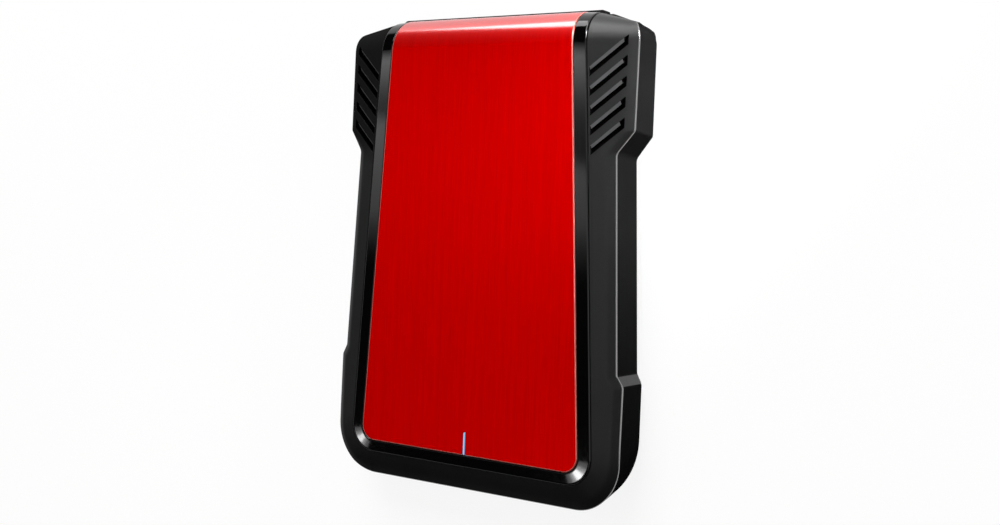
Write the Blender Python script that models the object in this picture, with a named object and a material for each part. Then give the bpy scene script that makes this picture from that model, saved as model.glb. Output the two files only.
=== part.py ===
import math

import bmesh
import bpy
from mathutils import Matrix

# Portable solid state drive: a 2.5 inch drive in a slim case with a bent metal face.
# The case lies on its back. X is its width, +Y runs from the light end to the bent end, +Z is up
# out of the face. Metres, origin in the middle of the footprint.

MM = 0.001

# The bare drive that the case is built round
DRIVE_LENGTH = 100.35 * MM
DRIVE_WIDTH = 69.85 * MM
DRIVE_THICK = 7.0 * MM

# Clearances
FIT = 0.3 * MM
PANEL_GAP = 0.15 * MM
LIGHT_CLEAR = 0.1 * MM
BAY_CLEAR = 1.075 * MM
DRIVE_TOP_CLEAR = 0.7 * MM

# Rooms and walls along the case, from the light end
END_WALL = 2.0 * MM
BOARD_ROOM = 13.0 * MM
UNPLUG_ROOM = 4.85 * MM
FAR_WALL = 3.8 * MM

# Plan of the case, as growth beyond the drive bay
RAIL_WALL = 4.7 * MM
SHELL_WALL = 2.0 * MM
WAIST_FLARE = 2.65 * MM
BUMP_STEP = 1.65 * MM
EAR_FLARE = 4.3 * MM
BUMP_LENGTH = 31.9 * MM
BUMP_RAMP = 2.65 * MM
EAR_LENGTH = 35.85 * MM
EAR_RAMP = 5.55 * MM
BUMP_CORNER = 13.0 * MM
FOOT_CORNER = 18.0 * MM
EAR_CORNER = 3.0 * MM
EAR_ROUND = 5.0 * MM
EAR_SETBACK = 8.7 * MM
EAR_FULLNESS = 0.35
CORNER_STEPS = 8

# Stack of layers through the thickness
COVER_THICK = 1.7 * MM
PAD_THICK = 0.4 * MM
LEDGE_THICK = 2.0 * MM
DECK_THICK = 1.2 * MM
TAPE_THICK = 0.2 * MM
PANEL_THICK = 1.0 * MM

# Slopes of the frame round the face, as drops below the face
BEZEL_LIP = 0.1 * MM
BEZEL_DROP = 0.3 * MM
SEAM_DROP = 0.45 * MM
FRAME_DROP = 2.4 * MM
NEAR_DROP = 3.5 * MM
EAR_DROP = 3.9 * MM
EDGE_BREAK = 0.6 * MM
FOOT_RISE = 4.0 * MM
FOOT_RUN = 2.4 * MM

# Face panel and the gloss bezel that carries it
FRAME_SIDE = 6.8 * MM
FRAME_NEAR = 6.6 * MM
BEZEL_RIM = 3.7 * MM
BEZEL_RIM_NEAR = 3.1 * MM
BEZEL_TAPER = 6.75 * MM
BEZEL_CORNER = 7.0 * MM
PANEL_CORNER = 4.0 * MM
BEND_RADIUS = 8.5 * MM
PANEL_END_INSET = 0.6 * MM
BEND_STEPS = 7
SEAT_CUT_HEIGHT = 3.0 * MM
TAPE_MARGIN = 2.0 * MM

# Light slit and its pipe
SLIT_WIDTH = 0.8 * MM
SLIT_LENGTH = 6.0 * MM
PIPE_FOOT_WIDTH = 2.4 * MM
PIPE_FOOT_INSET = 0.9 * MM

# Slanted slots in the ears
SLOT_COUNT = 5
SLOT_PITCH = 5.0 * MM
SLOT_WIDTH = 2.4 * MM
SLOT_SLANT = 0.83
SLOT_DEPTH = 1.4 * MM
SLOT_EDGE = 2.4 * MM
SLOT_MARGIN = 0.9 * MM
SLOT_FIRST = 6.2 * MM

# Opening over the drive in the ledge below the bezel
LEDGE_MARGIN = 7.4 * MM
LEDGE_NEAR = 16.0 * MM
LEDGE_FAR = 12.0 * MM
CORE_FLOOR = 3.4 * MM
EAR_CORE_END = 2.0 * MM

# Sliding back cover and its lock
RAIL_START = 7.0 * MM
RAIL_LIP = 0.8 * MM
TONGUE_REACH = 1.0 * MM
TONGUE_LEAD = 0.1 * MM
COVER_SHORT = 0.6 * MM
PAD_WIDTH = 8.0 * MM
PAD_LENGTH = 74.0 * MM
PAD_INSET = 9.925 * MM
LOCK_TRAVEL = 3.0 * MM
LOCK_WIDTH = 4.4 * MM
LOCK_LENGTH = 17.0 * MM
LOCK_THICK = 0.7 * MM
LOCK_FLOOR = 0.7 * MM
LOCK_FROM_END = 13.0 * MM
KNOB_LENGTH = 4.0 * MM
KNOB_WIDTH = 2.8 * MM
KNOB_INSET = 1.4 * MM
KEEPER_THICK = 0.3 * MM
KEEPER_MARGIN = 2.0 * MM
KEEPER_LENGTH = 12.0 * MM

# Bridge board and what sits on it
BOARD_THICK = 1.2 * MM
BOARD_DROP = 1.3 * MM
BOARD_SIDE = 2.0 * MM
BOARD_CORNER = 6.0 * MM
SCREW_SHAFT = 1.4 * MM
SCREW_HEAD = 3.0 * MM
SCREW_HEAD_THICK = 0.5 * MM
SCREW_SIDES = 14
BOSS_WIDTH = 4.2 * MM
BOARD_SCREW_INSET = 3.2 * MM
BOARD_SCREW_BITE = 0.6 * MM
BEZEL_SCREW_INSET = 2.6 * MM
BEZEL_SCREW_NEAR = 12.0 * MM
BEZEL_SCREW_FAR = 27.0 * MM
USB_OFFSET = 20.0 * MM
USB_WIDTH = 12.4 * MM
USB_HEIGHT = 2.9 * MM
USB_DEPTH = 6.3 * MM
USB_SKIN = 0.4 * MM
USB_RECESS = 0.8 * MM
USB_TONGUE_THICK = 0.7 * MM
USB_TONGUE_SHORT = 1.0 * MM
USB_TONGUE_RAISE = 0.25 * MM
USB_MAIN_LOBE = 7.4 * MM
USB_LOBE_GAP = 1.0 * MM
USB_NOTCH = 0.7 * MM
CHIP_SIZE = 5.8 * MM
CHIP_THICK = 0.9 * MM
CRYSTAL_LENGTH = 3.2 * MM
CRYSTAL_WIDTH = 2.5 * MM
CRYSTAL_THICK = 0.8 * MM
CAPACITOR_COUNT = 4
CAPACITOR_PITCH = 6.0 * MM
CAPACITOR_LENGTH = 1.6 * MM
CAPACITOR_WIDTH = 0.8 * MM
CAPACITOR_FROM_END = 4.0 * MM
LED_LENGTH = 1.6 * MM
LED_WIDTH = 0.8 * MM
LED_THICK = 0.5 * MM

# Plug on the drive and the receptacle that takes it
CONNECTOR_OFFSET = -8.5 * MM
BLADE_SIGNAL = 10.4 * MM
BLADE_POWER = 20.6 * MM
BLADE_GAP = 2.4 * MM
BLADE_THICK = 1.2 * MM
BLADE_RECESS = 0.3 * MM
NOSE_SIDE = 0.6 * MM
NOSE_WALL = 0.8 * MM
PLUG_SIDE = 0.8 * MM
PLUG_DEPTH = 5.0 * MM
PLUG_BACK = 0.8 * MM
MATE_DEPTH = 3.3 * MM
RECEPTACLE_DEPTH = 5.4 * MM
RECEPTACLE_UNDER = 2.9 * MM
PIN_COUNT = 22
PIN_WIDTH = 0.5 * MM
PIN_PITCH = 1.5 * MM
PIN_LENGTH = 1.3 * MM
PIN_THICK = 0.3 * MM
PIN_BAR = 0.4 * MM
PIN_BAR_HEIGHT = 0.8 * MM

# Inside the bare drive
DRIVE_FLOOR = 0.6 * MM
DRIVE_WALL = 1.2 * MM
DRIVE_POST = 5.0 * MM
DRIVE_LID = 0.7 * MM
RIB_WIDTH = 2.0 * MM
RIB_INSET = 8.925 * MM
RIB_HEIGHT = 2.0 * MM
DRIVE_BOARD_LENGTH = 40.0 * MM
DRIVE_BOARD_SIDE = 1.2 * MM
DRIVE_BOARD_THICK = 1.2 * MM
CONTROLLER_SIZE = 15.0 * MM
CHIP_HEIGHT = 1.0 * MM
MEMORY_WIDTH = 8.0 * MM
MEMORY_LENGTH = 12.0 * MM
CHIP_SPACE = 3.0 * MM
FLASH_COUNT = 4
FLASH_LENGTH = 17.0 * MM
FLASH_GAP = 2.0 * MM
FLASH_MARGIN = 1.525 * MM

# Sizes that follow from the ones above
LENGTH = END_WALL + BOARD_ROOM + DRIVE_LENGTH + UNPLUG_ROOM + FAR_WALL
bay_half = DRIVE_WIDTH / 2 + BAY_CLEAR
waist_far_half = bay_half + RAIL_WALL
waist_near_half = waist_far_half + WAIST_FLARE
bump_half = waist_near_half + BUMP_STEP
ear_half = waist_far_half + EAR_FLARE

cover_bottom = FIT
cover_top = cover_bottom + COVER_THICK
pad_bottom = cover_top + FIT
pad_top = pad_bottom + PAD_THICK
drive_bottom = pad_top + FIT
drive_top = drive_bottom + DRIVE_THICK
ledge_bottom = drive_top + DRIVE_TOP_CLEAR
ledge_top = ledge_bottom + LEDGE_THICK
deck_bottom = ledge_top + FIT
deck_top = deck_bottom + DECK_THICK
tape_bottom = deck_top + FIT
tape_top = tape_bottom + TAPE_THICK
panel_bottom = tape_top + FIT
THICKNESS = panel_bottom + PANEL_THICK

bend_start = LENGTH - PANEL_END_INSET - BEND_RADIUS
bend_height = THICKNESS - BEND_RADIUS
face_end = bend_start + BEND_RADIUS * math.pi / 2
far_wall_top = bend_height - FIT
bezel_near = FRAME_NEAR
bezel_half_near = bump_half - FRAME_SIDE
bezel_half_far = bezel_half_near - BEZEL_TAPER
panel_near = bezel_near + BEZEL_RIM_NEAR
ear_start = LENGTH - EAR_LENGTH
ear_round_start = LENGTH - EAR_SETBACK
slit_end = panel_near + SLIT_LENGTH
drive_near = END_WALL + BOARD_ROOM
drive_far = drive_near + DRIVE_LENGTH
bay_far = LENGTH - FAR_WALL
board_top = ledge_bottom - BOARD_DROP
board_bottom = board_top - BOARD_THICK
ledge_half = bezel_half_far - LEDGE_MARGIN + BEZEL_RIM
connector_half = (BLADE_SIGNAL + BLADE_GAP + BLADE_POWER) / 2


def along(distance):
    """World Y of a point at a distance from the light end."""
    return distance - LENGTH / 2


def on_face(x, distance, depth):
    """Point at a distance along the bent face and a depth below its outer surface."""
    if distance <= bend_start:
        return (x, along(distance), THICKNESS - depth)
    radius = BEND_RADIUS - depth
    if distance >= face_end:
        return (x, along(bend_start) + radius, bend_height - (distance - face_end))
    angle = (distance - bend_start) / BEND_RADIUS
    return (x, along(bend_start) + radius * math.sin(angle), bend_height + radius * math.cos(angle))


def finish(name, colour, roughness, metallic=0.0):
    """Principled material."""
    material = bpy.data.materials.new(name)
    material.use_nodes = True
    shader = material.node_tree.nodes["Principled BSDF"]
    shader.inputs["Base Color"].default_value = (*colour, 1.0)
    shader.inputs["Roughness"].default_value = roughness
    shader.inputs["Metallic"].default_value = metallic
    return material


def clear_scene():
    for existing in list(bpy.data.objects):
        bpy.data.objects.remove(existing, do_unlink=True)


def carriage(name, location):
    """Empty on a joint's axis that carries the pieces of one moving body."""
    empty = bpy.data.objects.new(name, None)
    empty.location = location
    bpy.context.collection.objects.link(empty)
    return empty


def piece(name, bm, material=None, parent=None, location=(0, 0, 0)):
    """Turn a bmesh into a named object with its material, kept in place under its parent."""
    bmesh.ops.recalc_face_normals(bm, faces=bm.faces)
    bmesh.ops.triangulate(bm, faces=bm.faces)
    mesh = bpy.data.meshes.new(name)
    bm.to_mesh(mesh)
    bm.free()
    obj = bpy.data.objects.new(name, mesh)
    obj.location = location
    bpy.context.collection.objects.link(obj)
    if material:
        mesh.materials.append(material)
    if parent:
        obj.parent = parent
        obj.matrix_parent_inverse = Matrix.Translation(parent.location).inverted()
    return obj


def boolean(target, tool, operation="DIFFERENCE"):
    """Cut or join a target with a hidden tool object."""
    tool.hide_render = True
    tool.display_type = "WIRE"
    modifier = target.modifiers.new(tool.name, "BOOLEAN")
    modifier.operation = operation
    modifier.solver = "EXACT"
    modifier.object = tool


def add_block(bm, low, high):
    """Box between two corners."""
    low_x, low_y, low_z = low
    high_x, high_y, high_z = high
    corners = ((low_x, low_y), (high_x, low_y), (high_x, high_y), (low_x, high_y))
    add_prism(bm, corners, low_z, high_z)


def add_prism(bm, outline, low_z, high_z):
    """Upright prism on a plan outline."""
    bottom = [bm.verts.new((x, y, low_z)) for x, y in outline]
    top = [bm.verts.new((x, y, high_z)) for x, y in outline]
    bm.faces.new(bottom[::-1])
    bm.faces.new(top)
    for index, vertex in enumerate(bottom):
        after = (index + 1) % len(bottom)
        bm.faces.new((vertex, bottom[after], top[after], top[index]))


def add_bar(bm, outline, low_y, high_y):
    """Lengthwise prism on an outline of (x, z) points."""
    near = [bm.verts.new((x, low_y, z)) for x, z in outline]
    far = [bm.verts.new((x, high_y, z)) for x, z in outline]
    bm.faces.new(near)
    bm.faces.new(far[::-1])
    for index, vertex in enumerate(near):
        after = (index + 1) % len(near)
        bm.faces.new((near[after], vertex, far[index], far[after]))


def add_turned(bm, centre, profile, sides=SCREW_SIDES):
    """Solid turned about an upright axis from (radius, height) points, bottom to top."""
    rings = []
    for radius, height in profile:
        ring = []
        for step in range(sides):
            angle = 2 * math.pi * step / sides
            spot = (centre[0] + radius * math.cos(angle), centre[1] + radius * math.sin(angle), height)
            ring.append(bm.verts.new(spot))
        rings.append(ring)
    bm.faces.new(rings[0][::-1])
    bm.faces.new(rings[-1])
    for lower, upper in zip(rings, rings[1:]):
        for step in range(sides):
            after = (step + 1) % sides
            bm.faces.new((lower[step], lower[after], upper[after], upper[step]))


def add_loft(bm, levels):
    """Closed body through levels of right-hand edge points, mirrored to the left."""
    right = [[bm.verts.new(point) for point in level] for level in levels]
    left = [[bm.verts.new((-x, y, z)) for x, y, z in level] for level in levels]
    last = len(levels[0]) - 1
    for level in range(len(levels) - 1):
        for side in (right, left):
            lower, upper = side[level], side[level + 1]
            for step in range(last):
                bm.faces.new((lower[step], lower[step + 1], upper[step + 1], upper[step]))
        for end in (0, last):
            bm.faces.new((right[level][end], left[level][end], left[level + 1][end], right[level + 1][end]))
    for level in (0, len(levels) - 1):
        for step in range(last):
            bm.faces.new((right[level][step], right[level][step + 1],
                          left[level][step + 1], left[level][step]))


def block(name, low, high, material=None, parent=None):
    bm = bmesh.new()
    add_block(bm, low, high)
    return piece(name, bm, material, parent)


def turned(name, spot, profile, material):
    bm = bmesh.new()
    add_turned(bm, spot, profile)
    return piece(name, bm, material)


def bezel_half(distance):
    """Half width of the bezel at a distance along the face."""
    start = bezel_near + BEZEL_CORNER
    share = (distance - start) / (face_end - start)
    return bezel_half_near + (bezel_half_far - bezel_half_near) * share


def corner_points(half, near, radius, steps):
    """Rounded corner of a plan outline, from the end edge to the side edge."""
    points = []
    for step in range(steps + 1):
        angle = math.pi / 2 * step / steps
        points.append((half - radius + radius * math.sin(angle), near + radius - radius * math.cos(angle)))
    return points


def face_outline(inset, inset_near, radius, overrun=0.0):
    """Right-hand edge of a plate on the face, set in from the bezel's edge, as (x, distance)."""
    near = bezel_near + inset_near
    start_half = bezel_half(near + radius) - inset
    points = corner_points(start_half, near, radius, CORNER_STEPS)
    for step in range(BEND_STEPS + 1):
        distance = bend_start + (face_end - bend_start) * step / BEND_STEPS
        points.append((bezel_half(distance) - inset, distance))
    if overrun:
        points.append((bezel_half(face_end) - inset, face_end + overrun))
    return points


def face_level(outline, depth):
    return [on_face(x, distance, depth) for x, distance in outline]


def frame_drop(x, distance):
    """Drop of the ear's slope below the face, across from the bezel's edge to the ear's edge."""
    inner = bezel_half(distance)
    return SEAM_DROP + (EAR_DROP - SEAM_DROP) * (x - inner) / (ear_half - inner)


def shell_plan(inset, corner):
    """Right-hand plan of the case sides up to the ears, as (x, distance)."""
    points = corner_points(bump_half - inset, inset, corner - inset, CORNER_STEPS)
    points.append((bump_half - inset, BUMP_LENGTH))
    points.append((waist_near_half - inset, BUMP_LENGTH + BUMP_RAMP))
    points.append((waist_far_half - inset, ear_start))
    points.append((ear_half - inset, ear_start + EAR_RAMP))
    points.append((ear_half - inset, ear_round_start))
    return points


def shell_block():
    """Outer form of the case: footing, walls, broken edge, slope, and the inner edge at the bezel."""
    plan = shell_plan(0.0, BUMP_CORNER)
    foot = [(x, along(d), 0.0) for x, d in shell_plan(FOOT_RUN, FOOT_CORNER)]
    low = [(x, along(d), FOOT_RISE) for x, d in shell_plan(0.0, FOOT_CORNER)]
    round_corner = [NEAR_DROP + (FRAME_DROP - NEAR_DROP) * k / CORNER_STEPS for k in range(CORNER_STEPS)]
    drops = round_corner + [FRAME_DROP] * (len(plan) - 2 - CORNER_STEPS) + [EAR_DROP] * 2
    edges = [THICKNESS - drop for drop in drops]
    high = [(x, along(d), z - EDGE_BREAK) for (x, d), z in zip(plan, edges)]
    slope = [(x, along(d), z) for (x, d), z in zip(shell_plan(EDGE_BREAK, BUMP_CORNER), edges)]
    corner = corner_points(bezel_half_near, bezel_near, BEZEL_CORNER, CORNER_STEPS)
    seam = [(x, along(d), THICKNESS - SEAM_DROP) for x, d in corner]
    for x, distance in plan[len(corner):-1]:
        seam.append((bezel_half(distance), along(distance), THICKNESS - SEAM_DROP))
    seam.append(on_face(bezel_half(bend_start), bend_start, SEAM_DROP))
    ear_edge = THICKNESS - EAR_DROP
    for step in range(1, BEND_STEPS + 1):
        angle = math.pi / 2 * step / BEND_STEPS
        x = ear_half - EAR_CORNER * (1 - math.cos(angle))
        y = along(ear_round_start + EAR_ROUND * math.sin(angle))
        z = far_wall_top + (ear_edge - far_wall_top) * abs(math.cos(angle)) ** EAR_FULLNESS
        foot.append((x - FOOT_RUN, y, 0.0))
        low.append((x, y, FOOT_RISE))
        high.append((x, y, z - EDGE_BREAK))
        slope.append((x - EDGE_BREAK, y, z))
        distance = bend_start + (face_end - bend_start) * step / BEND_STEPS
        seam.append(on_face(bezel_half(distance), distance, SEAM_DROP))
    end_x = bezel_half(face_end)
    end_y = along(LENGTH)
    foot.append((end_x, end_y, 0.0))
    low.append((end_x, end_y, FOOT_RISE))
    high.append((end_x, end_y, far_wall_top - EDGE_BREAK))
    slope.append((end_x, end_y - EDGE_BREAK, far_wall_top))
    seam.append((end_x, end_y - 2 * EDGE_BREAK, far_wall_top))
    bm = bmesh.new()
    add_loft(bm, (foot, low, high, slope, seam))
    return bm


def screw_profile(head_bottom, tip):
    """Pan head below, shaft above."""
    head_top = head_bottom + SCREW_HEAD_THICK
    return ((SCREW_HEAD / 2, head_bottom), (SCREW_HEAD / 2, head_top),
            (SCREW_SHAFT / 2, head_top), (SCREW_SHAFT / 2, tip))


def bezel_screw_spots():
    spots = []
    for distance in (BEZEL_SCREW_NEAR, LENGTH - BEZEL_SCREW_FAR):
        reach = bezel_half(distance) - BEZEL_SCREW_INSET
        spots += [(-reach, along(distance)), (reach, along(distance))]
    return spots


def board_screw_spots():
    reach = bay_half - BOARD_SIDE - BOARD_SCREW_INSET
    middle = along(END_WALL + BOARD_ROOM / 2)
    return [(-reach, middle), (reach, middle)]


def slot_cutter():
    """Slanted slots in both ears, floors parallel to the slope."""
    bm = bmesh.new()
    outer = ear_half - SLOT_EDGE
    for side in (-1, 1):
        for index in range(SLOT_COUNT):
            start = ear_start + SLOT_FIRST + SLOT_PITCH * index
            inner = bezel_half(start) + SLOT_MARGIN
            rows = []
            for x, distance in ((inner, start - SLOT_SLANT * (outer - inner)), (outer, start)):
                floor = THICKNESS - frame_drop(x, distance) - SLOT_DEPTH
                for y in (distance, distance + SLOT_WIDTH):
                    rows.append((side * x, along(y), floor))
            lower = [bm.verts.new(rows[corner]) for corner in (0, 2, 3, 1)]
            upper = [bm.verts.new((v.co.x, v.co.y, THICKNESS)) for v in lower]
            bm.faces.new(lower)
            bm.faces.new(upper)
            for corner in range(4):
                after = (corner + 1) % 4
                bm.faces.new((lower[corner], lower[after], upper[after], upper[corner]))
    return piece("slot_cutter", bm)


def core_cutter():
    """Hollow that leaves even walls round the case above the cover rails."""
    half = shell_plan(SHELL_WALL, FOOT_CORNER)[:-1]
    ear_end = ear_round_start - EAR_CORE_END
    half += [(ear_half - SHELL_WALL, ear_end), (bay_half, ear_end)]
    outline = [(x, along(d)) for x, d in half] + [(-x, along(d)) for x, d in reversed(half)]
    bm = bmesh.new()
    add_prism(bm, outline, CORE_FLOOR, ledge_bottom)
    return piece("core_cutter", bm)


def upper_shell(material):
    shell = piece("upper_shell", shell_block(), material)
    beyond = LENGTH / 2 + END_WALL
    below = -COVER_THICK

    bm = bmesh.new()
    outline = face_outline(-FIT, -FIT, BEZEL_CORNER + FIT, FIT)
    depth = THICKNESS - ledge_top
    add_loft(bm, (face_level(outline, depth), face_level(outline, -SEAT_CUT_HEIGHT)))
    boolean(shell, piece("bezel_seat", bm))

    boolean(shell, core_cutter())
    bay = ((-bay_half, along(RAIL_START), below), (bay_half, along(bay_far), ledge_bottom))
    boolean(shell, block("bay_cutter", *bay))
    window = ((-ledge_half, along(LEDGE_NEAR), drive_top),
              (ledge_half, along(LENGTH - LEDGE_FAR), deck_bottom))
    boolean(shell, block("ledge_window", *window))

    groove_half = bay_half + TONGUE_REACH + FIT
    groove = ((-groove_half, along(RAIL_START), RAIL_LIP), (groove_half, beyond, cover_top + FIT))
    boolean(shell, block("rail_groove", *groove))
    way_out = ((-bay_half, along(bay_far) - FAR_WALL, below), (bay_half, beyond, drive_bottom))
    boolean(shell, block("cover_exit", *way_out))

    lock_y = along(LOCK_FROM_END)
    notch_half = LOCK_WIDTH / 2 + FIT
    notch_z = cover_bottom + LOCK_FLOOR
    notch = ((bay_half, lock_y - notch_half, notch_z),
             (bay_half + TONGUE_REACH + LOCK_TRAVEL, lock_y + notch_half, cover_top + FIT))
    boolean(shell, block("lock_notch", *notch))

    bm = bmesh.new()
    add_bar(bm, port_outline(FIT), -beyond, along(END_WALL + FIT))
    boolean(shell, piece("usb_port", bm))

    pipe_half = PIPE_FOOT_WIDTH / 2 + FIT
    pipe_hole = ((-pipe_half, along(panel_near + PIPE_FOOT_INSET - FIT), drive_top),
                 (pipe_half, along(slit_end - PIPE_FOOT_INSET + FIT), deck_bottom))
    boolean(shell, block("pipe_hole", *pipe_hole))

    bm = bmesh.new()
    for spot in board_screw_spots():
        add_turned(bm, spot, ((BOSS_WIDTH / 2, board_top + FIT), (BOSS_WIDTH / 2, ledge_bottom + FIT)))
    boolean(shell, piece("board_bosses", bm), "UNION")

    bm = bmesh.new()
    bore = SCREW_SHAFT / 2 + FIT
    sink = SCREW_HEAD / 2 + FIT
    sink_top = ledge_bottom + SCREW_HEAD_THICK + FIT
    for spot in bezel_screw_spots():
        add_turned(bm, spot, ((sink, drive_top), (sink, sink_top), (bore, sink_top), (bore, deck_bottom)))
    for spot in board_screw_spots():
        add_turned(bm, spot, ((bore, board_bottom), (bore, ledge_bottom + BOARD_SCREW_BITE + FIT)))
    boolean(shell, piece("screw_bores", bm))
    boolean(shell, slot_cutter())


def gloss_bezel(material):
    """Deck under the panel with a sloped gloss rim round it."""
    edge = face_outline(0.0, 0.0, BEZEL_CORNER)
    lip = face_outline(BEZEL_RIM, BEZEL_RIM_NEAR, PANEL_CORNER)
    bm = bmesh.new()
    depth = THICKNESS - deck_bottom
    add_loft(bm, (face_level(edge, depth), face_level(edge, BEZEL_DROP), face_level(lip, BEZEL_LIP)))
    bezel = piece("gloss_bezel", bm, material)

    bm = bmesh.new()
    corner = PANEL_CORNER + PANEL_GAP
    pocket = face_outline(BEZEL_RIM - PANEL_GAP, BEZEL_RIM_NEAR - PANEL_GAP, corner, FIT)
    add_loft(bm, (face_level(pocket, THICKNESS - deck_top), face_level(pocket, -SEAT_CUT_HEIGHT)))
    boolean(bezel, piece("panel_pocket", bm))

    slit_half = SLIT_WIDTH / 2 + LIGHT_CLEAR
    slit = ((-slit_half, along(panel_near), ledge_bottom), (slit_half, along(slit_end + FIT), panel_bottom))
    boolean(bezel, block("deck_slit", *slit))
    bm = bmesh.new()
    bore = SCREW_SHAFT / 2 + FIT
    for spot in bezel_screw_spots():
        add_turned(bm, spot, ((bore, ledge_bottom), (bore, panel_bottom)))
    boolean(bezel, piece("deck_bores", bm))


def front_panel(material):
    outline = face_outline(BEZEL_RIM, BEZEL_RIM_NEAR, PANEL_CORNER)
    bm = bmesh.new()
    add_loft(bm, (face_level(outline, PANEL_THICK), face_level(outline, 0.0)))
    panel = piece("front_panel", bm, material)
    slit_half = SLIT_WIDTH / 2
    slit = ((-slit_half, along(bezel_near), tape_bottom), (slit_half, along(slit_end), THICKNESS + FIT))
    boolean(panel, block("panel_slit", *slit))


def panel_tape(material):
    near = slit_end + TAPE_MARGIN
    far = bend_start - TAPE_MARGIN
    inset = BEZEL_RIM + TAPE_MARGIN
    half = [(bezel_half(near) - inset, near), (bezel_half(far) - inset, far)]
    outline = [(x, along(d)) for x, d in half] + [(-x, along(d)) for x, d in reversed(half)]
    bm = bmesh.new()
    add_prism(bm, outline, tape_bottom, tape_top)
    piece("panel_tape", bm, material)


def light_pipe(material):
    """Clear foot over the light with a thin blade that fills the slit."""
    foot_low = (-PIPE_FOOT_WIDTH / 2, along(panel_near + PIPE_FOOT_INSET), board_top + 2 * FIT + LED_THICK)
    foot_high = (PIPE_FOOT_WIDTH / 2, along(slit_end - PIPE_FOOT_INSET), deck_bottom - LIGHT_CLEAR)
    pipe = block("light_pipe", foot_low, foot_high, material)
    half = SLIT_WIDTH / 2 - LIGHT_CLEAR
    low = (-half, along(panel_near + LIGHT_CLEAR), ledge_top + LIGHT_CLEAR)
    high = (half, along(slit_end - LIGHT_CLEAR), THICKNESS - LIGHT_CLEAR)
    boolean(pipe, block("pipe_blade", low, high), "UNION")


def bezel_screws(material):
    for number, spot in enumerate(bezel_screw_spots(), 1):
        profile = screw_profile(ledge_bottom, deck_top - LIGHT_CLEAR)
        turned(f"bezel_screw_{number}", spot, profile, material)


def bridge_board(material):
    half = bay_half - BOARD_SIDE
    near = along(END_WALL + FIT)
    right = [(half - BOARD_CORNER, near), (half, near + BOARD_CORNER), (half, along(drive_near - 2 * FIT))]
    bm = bmesh.new()
    add_prism(bm, right + [(-x, y) for x, y in reversed(right)], board_bottom, board_top)
    board = piece("bridge_board", bm, material)
    bm = bmesh.new()
    bore = SCREW_SHAFT / 2 + FIT
    for spot in board_screw_spots():
        add_turned(bm, spot, ((bore, board_bottom - BOARD_THICK), (bore, board_top + FIT)))
    boolean(board, piece("board_bores", bm))


def board_screws(material):
    head = board_bottom - FIT - SCREW_HEAD_THICK
    for number, spot in enumerate(board_screw_spots(), 1):
        profile = screw_profile(head, ledge_bottom + BOARD_SCREW_BITE)
        turned(f"board_screw_{number}", spot, profile, material)


def port_outline(grow):
    """Two-lobed outline of the port shell, grown all round, as (x, z)."""
    left = USB_OFFSET - USB_WIDTH / 2 - grow
    right = USB_OFFSET + USB_WIDTH / 2 + grow
    top = board_bottom - FIT + grow
    bottom = board_bottom - FIT - USB_HEIGHT - grow
    lobe_right = USB_OFFSET - USB_WIDTH / 2 + USB_MAIN_LOBE + grow
    next_left = USB_OFFSET - USB_WIDTH / 2 + USB_MAIN_LOBE + USB_LOBE_GAP - grow
    return [(left, top), (left, bottom + USB_NOTCH), (left + USB_NOTCH, bottom),
            (lobe_right - USB_NOTCH, bottom), (lobe_right, bottom + USB_NOTCH),
            (next_left, bottom + USB_NOTCH), (next_left, bottom), (right, bottom), (right, top)]


def usb_socket(metal, plastic):
    """Open-ended port shell in the end wall, and the contact tongue inside it."""
    near = along(USB_RECESS)
    far = near + USB_DEPTH
    bm = bmesh.new()
    add_bar(bm, port_outline(0.0), near, far)
    socket = piece("usb_socket", bm, metal)
    bm = bmesh.new()
    add_bar(bm, port_outline(-USB_SKIN), near - USB_SKIN, far - USB_SKIN)
    boolean(socket, piece("usb_mouth", bm))
    half = USB_WIDTH / 2 - USB_SKIN - 2 * FIT
    middle = board_bottom - FIT - USB_HEIGHT / 2 + USB_TONGUE_RAISE
    block("usb_tongue", (USB_OFFSET - half, near + USB_TONGUE_SHORT, middle - USB_TONGUE_THICK / 2),
          (USB_OFFSET + half, far - USB_SKIN - FIT, middle + USB_TONGUE_THICK / 2), plastic)


def board_parts(chip, metal, ceramic, lamp):
    """Bridge chip, crystal, capacitors and the status light."""
    under = board_bottom - FIT
    far = along(drive_near - 2 * FIT) - FIT
    low = (USB_OFFSET - CHIP_SIZE / 2, far - CHIP_SIZE, under - CHIP_THICK)
    block("bridge_chip", low, (low[0] + CHIP_SIZE, far, under), chip)
    right = low[0] - 2 * FIT
    block("crystal", (right - CRYSTAL_LENGTH, far - CRYSTAL_WIDTH, under - CRYSTAL_THICK),
          (right, far, under), metal)
    start = CONNECTOR_OFFSET - CAPACITOR_PITCH * (CAPACITOR_COUNT - 1) / 2
    near = along(END_WALL + CAPACITOR_FROM_END - CAPACITOR_WIDTH)
    for index in range(CAPACITOR_COUNT):
        x = start + CAPACITOR_PITCH * index - CAPACITOR_LENGTH / 2
        block(f"capacitor_{index + 1}", (x, near, under - CAPACITOR_WIDTH),
              (x + CAPACITOR_LENGTH, near + CAPACITOR_WIDTH, under), ceramic)
    middle = along((panel_near + slit_end) / 2)
    bottom = board_top + FIT
    block("status_led", (-LED_WIDTH / 2, middle - LED_LENGTH / 2, bottom),
          (LED_WIDTH / 2, middle + LED_LENGTH / 2, bottom + LED_THICK), lamp)


def connector_middle():
    """Height of the middle of the plug, held between the drive's floor and its lid."""
    return (drive_bottom + DRIVE_FLOOR + drive_top - DRIVE_LID) / 2


def blade_spans(grow):
    """X ranges of the signal blade and the power blade."""
    left = CONNECTOR_OFFSET - connector_half
    right = CONNECTOR_OFFSET + connector_half
    return ((left - grow, left + BLADE_SIGNAL + grow), (right - BLADE_POWER - grow, right + grow))


def nose_reach():
    """Half width and half height of the receptacle's nose."""
    return connector_half + FIT + NOSE_SIDE, BLADE_THICK / 2 + FIT + NOSE_WALL


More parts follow.
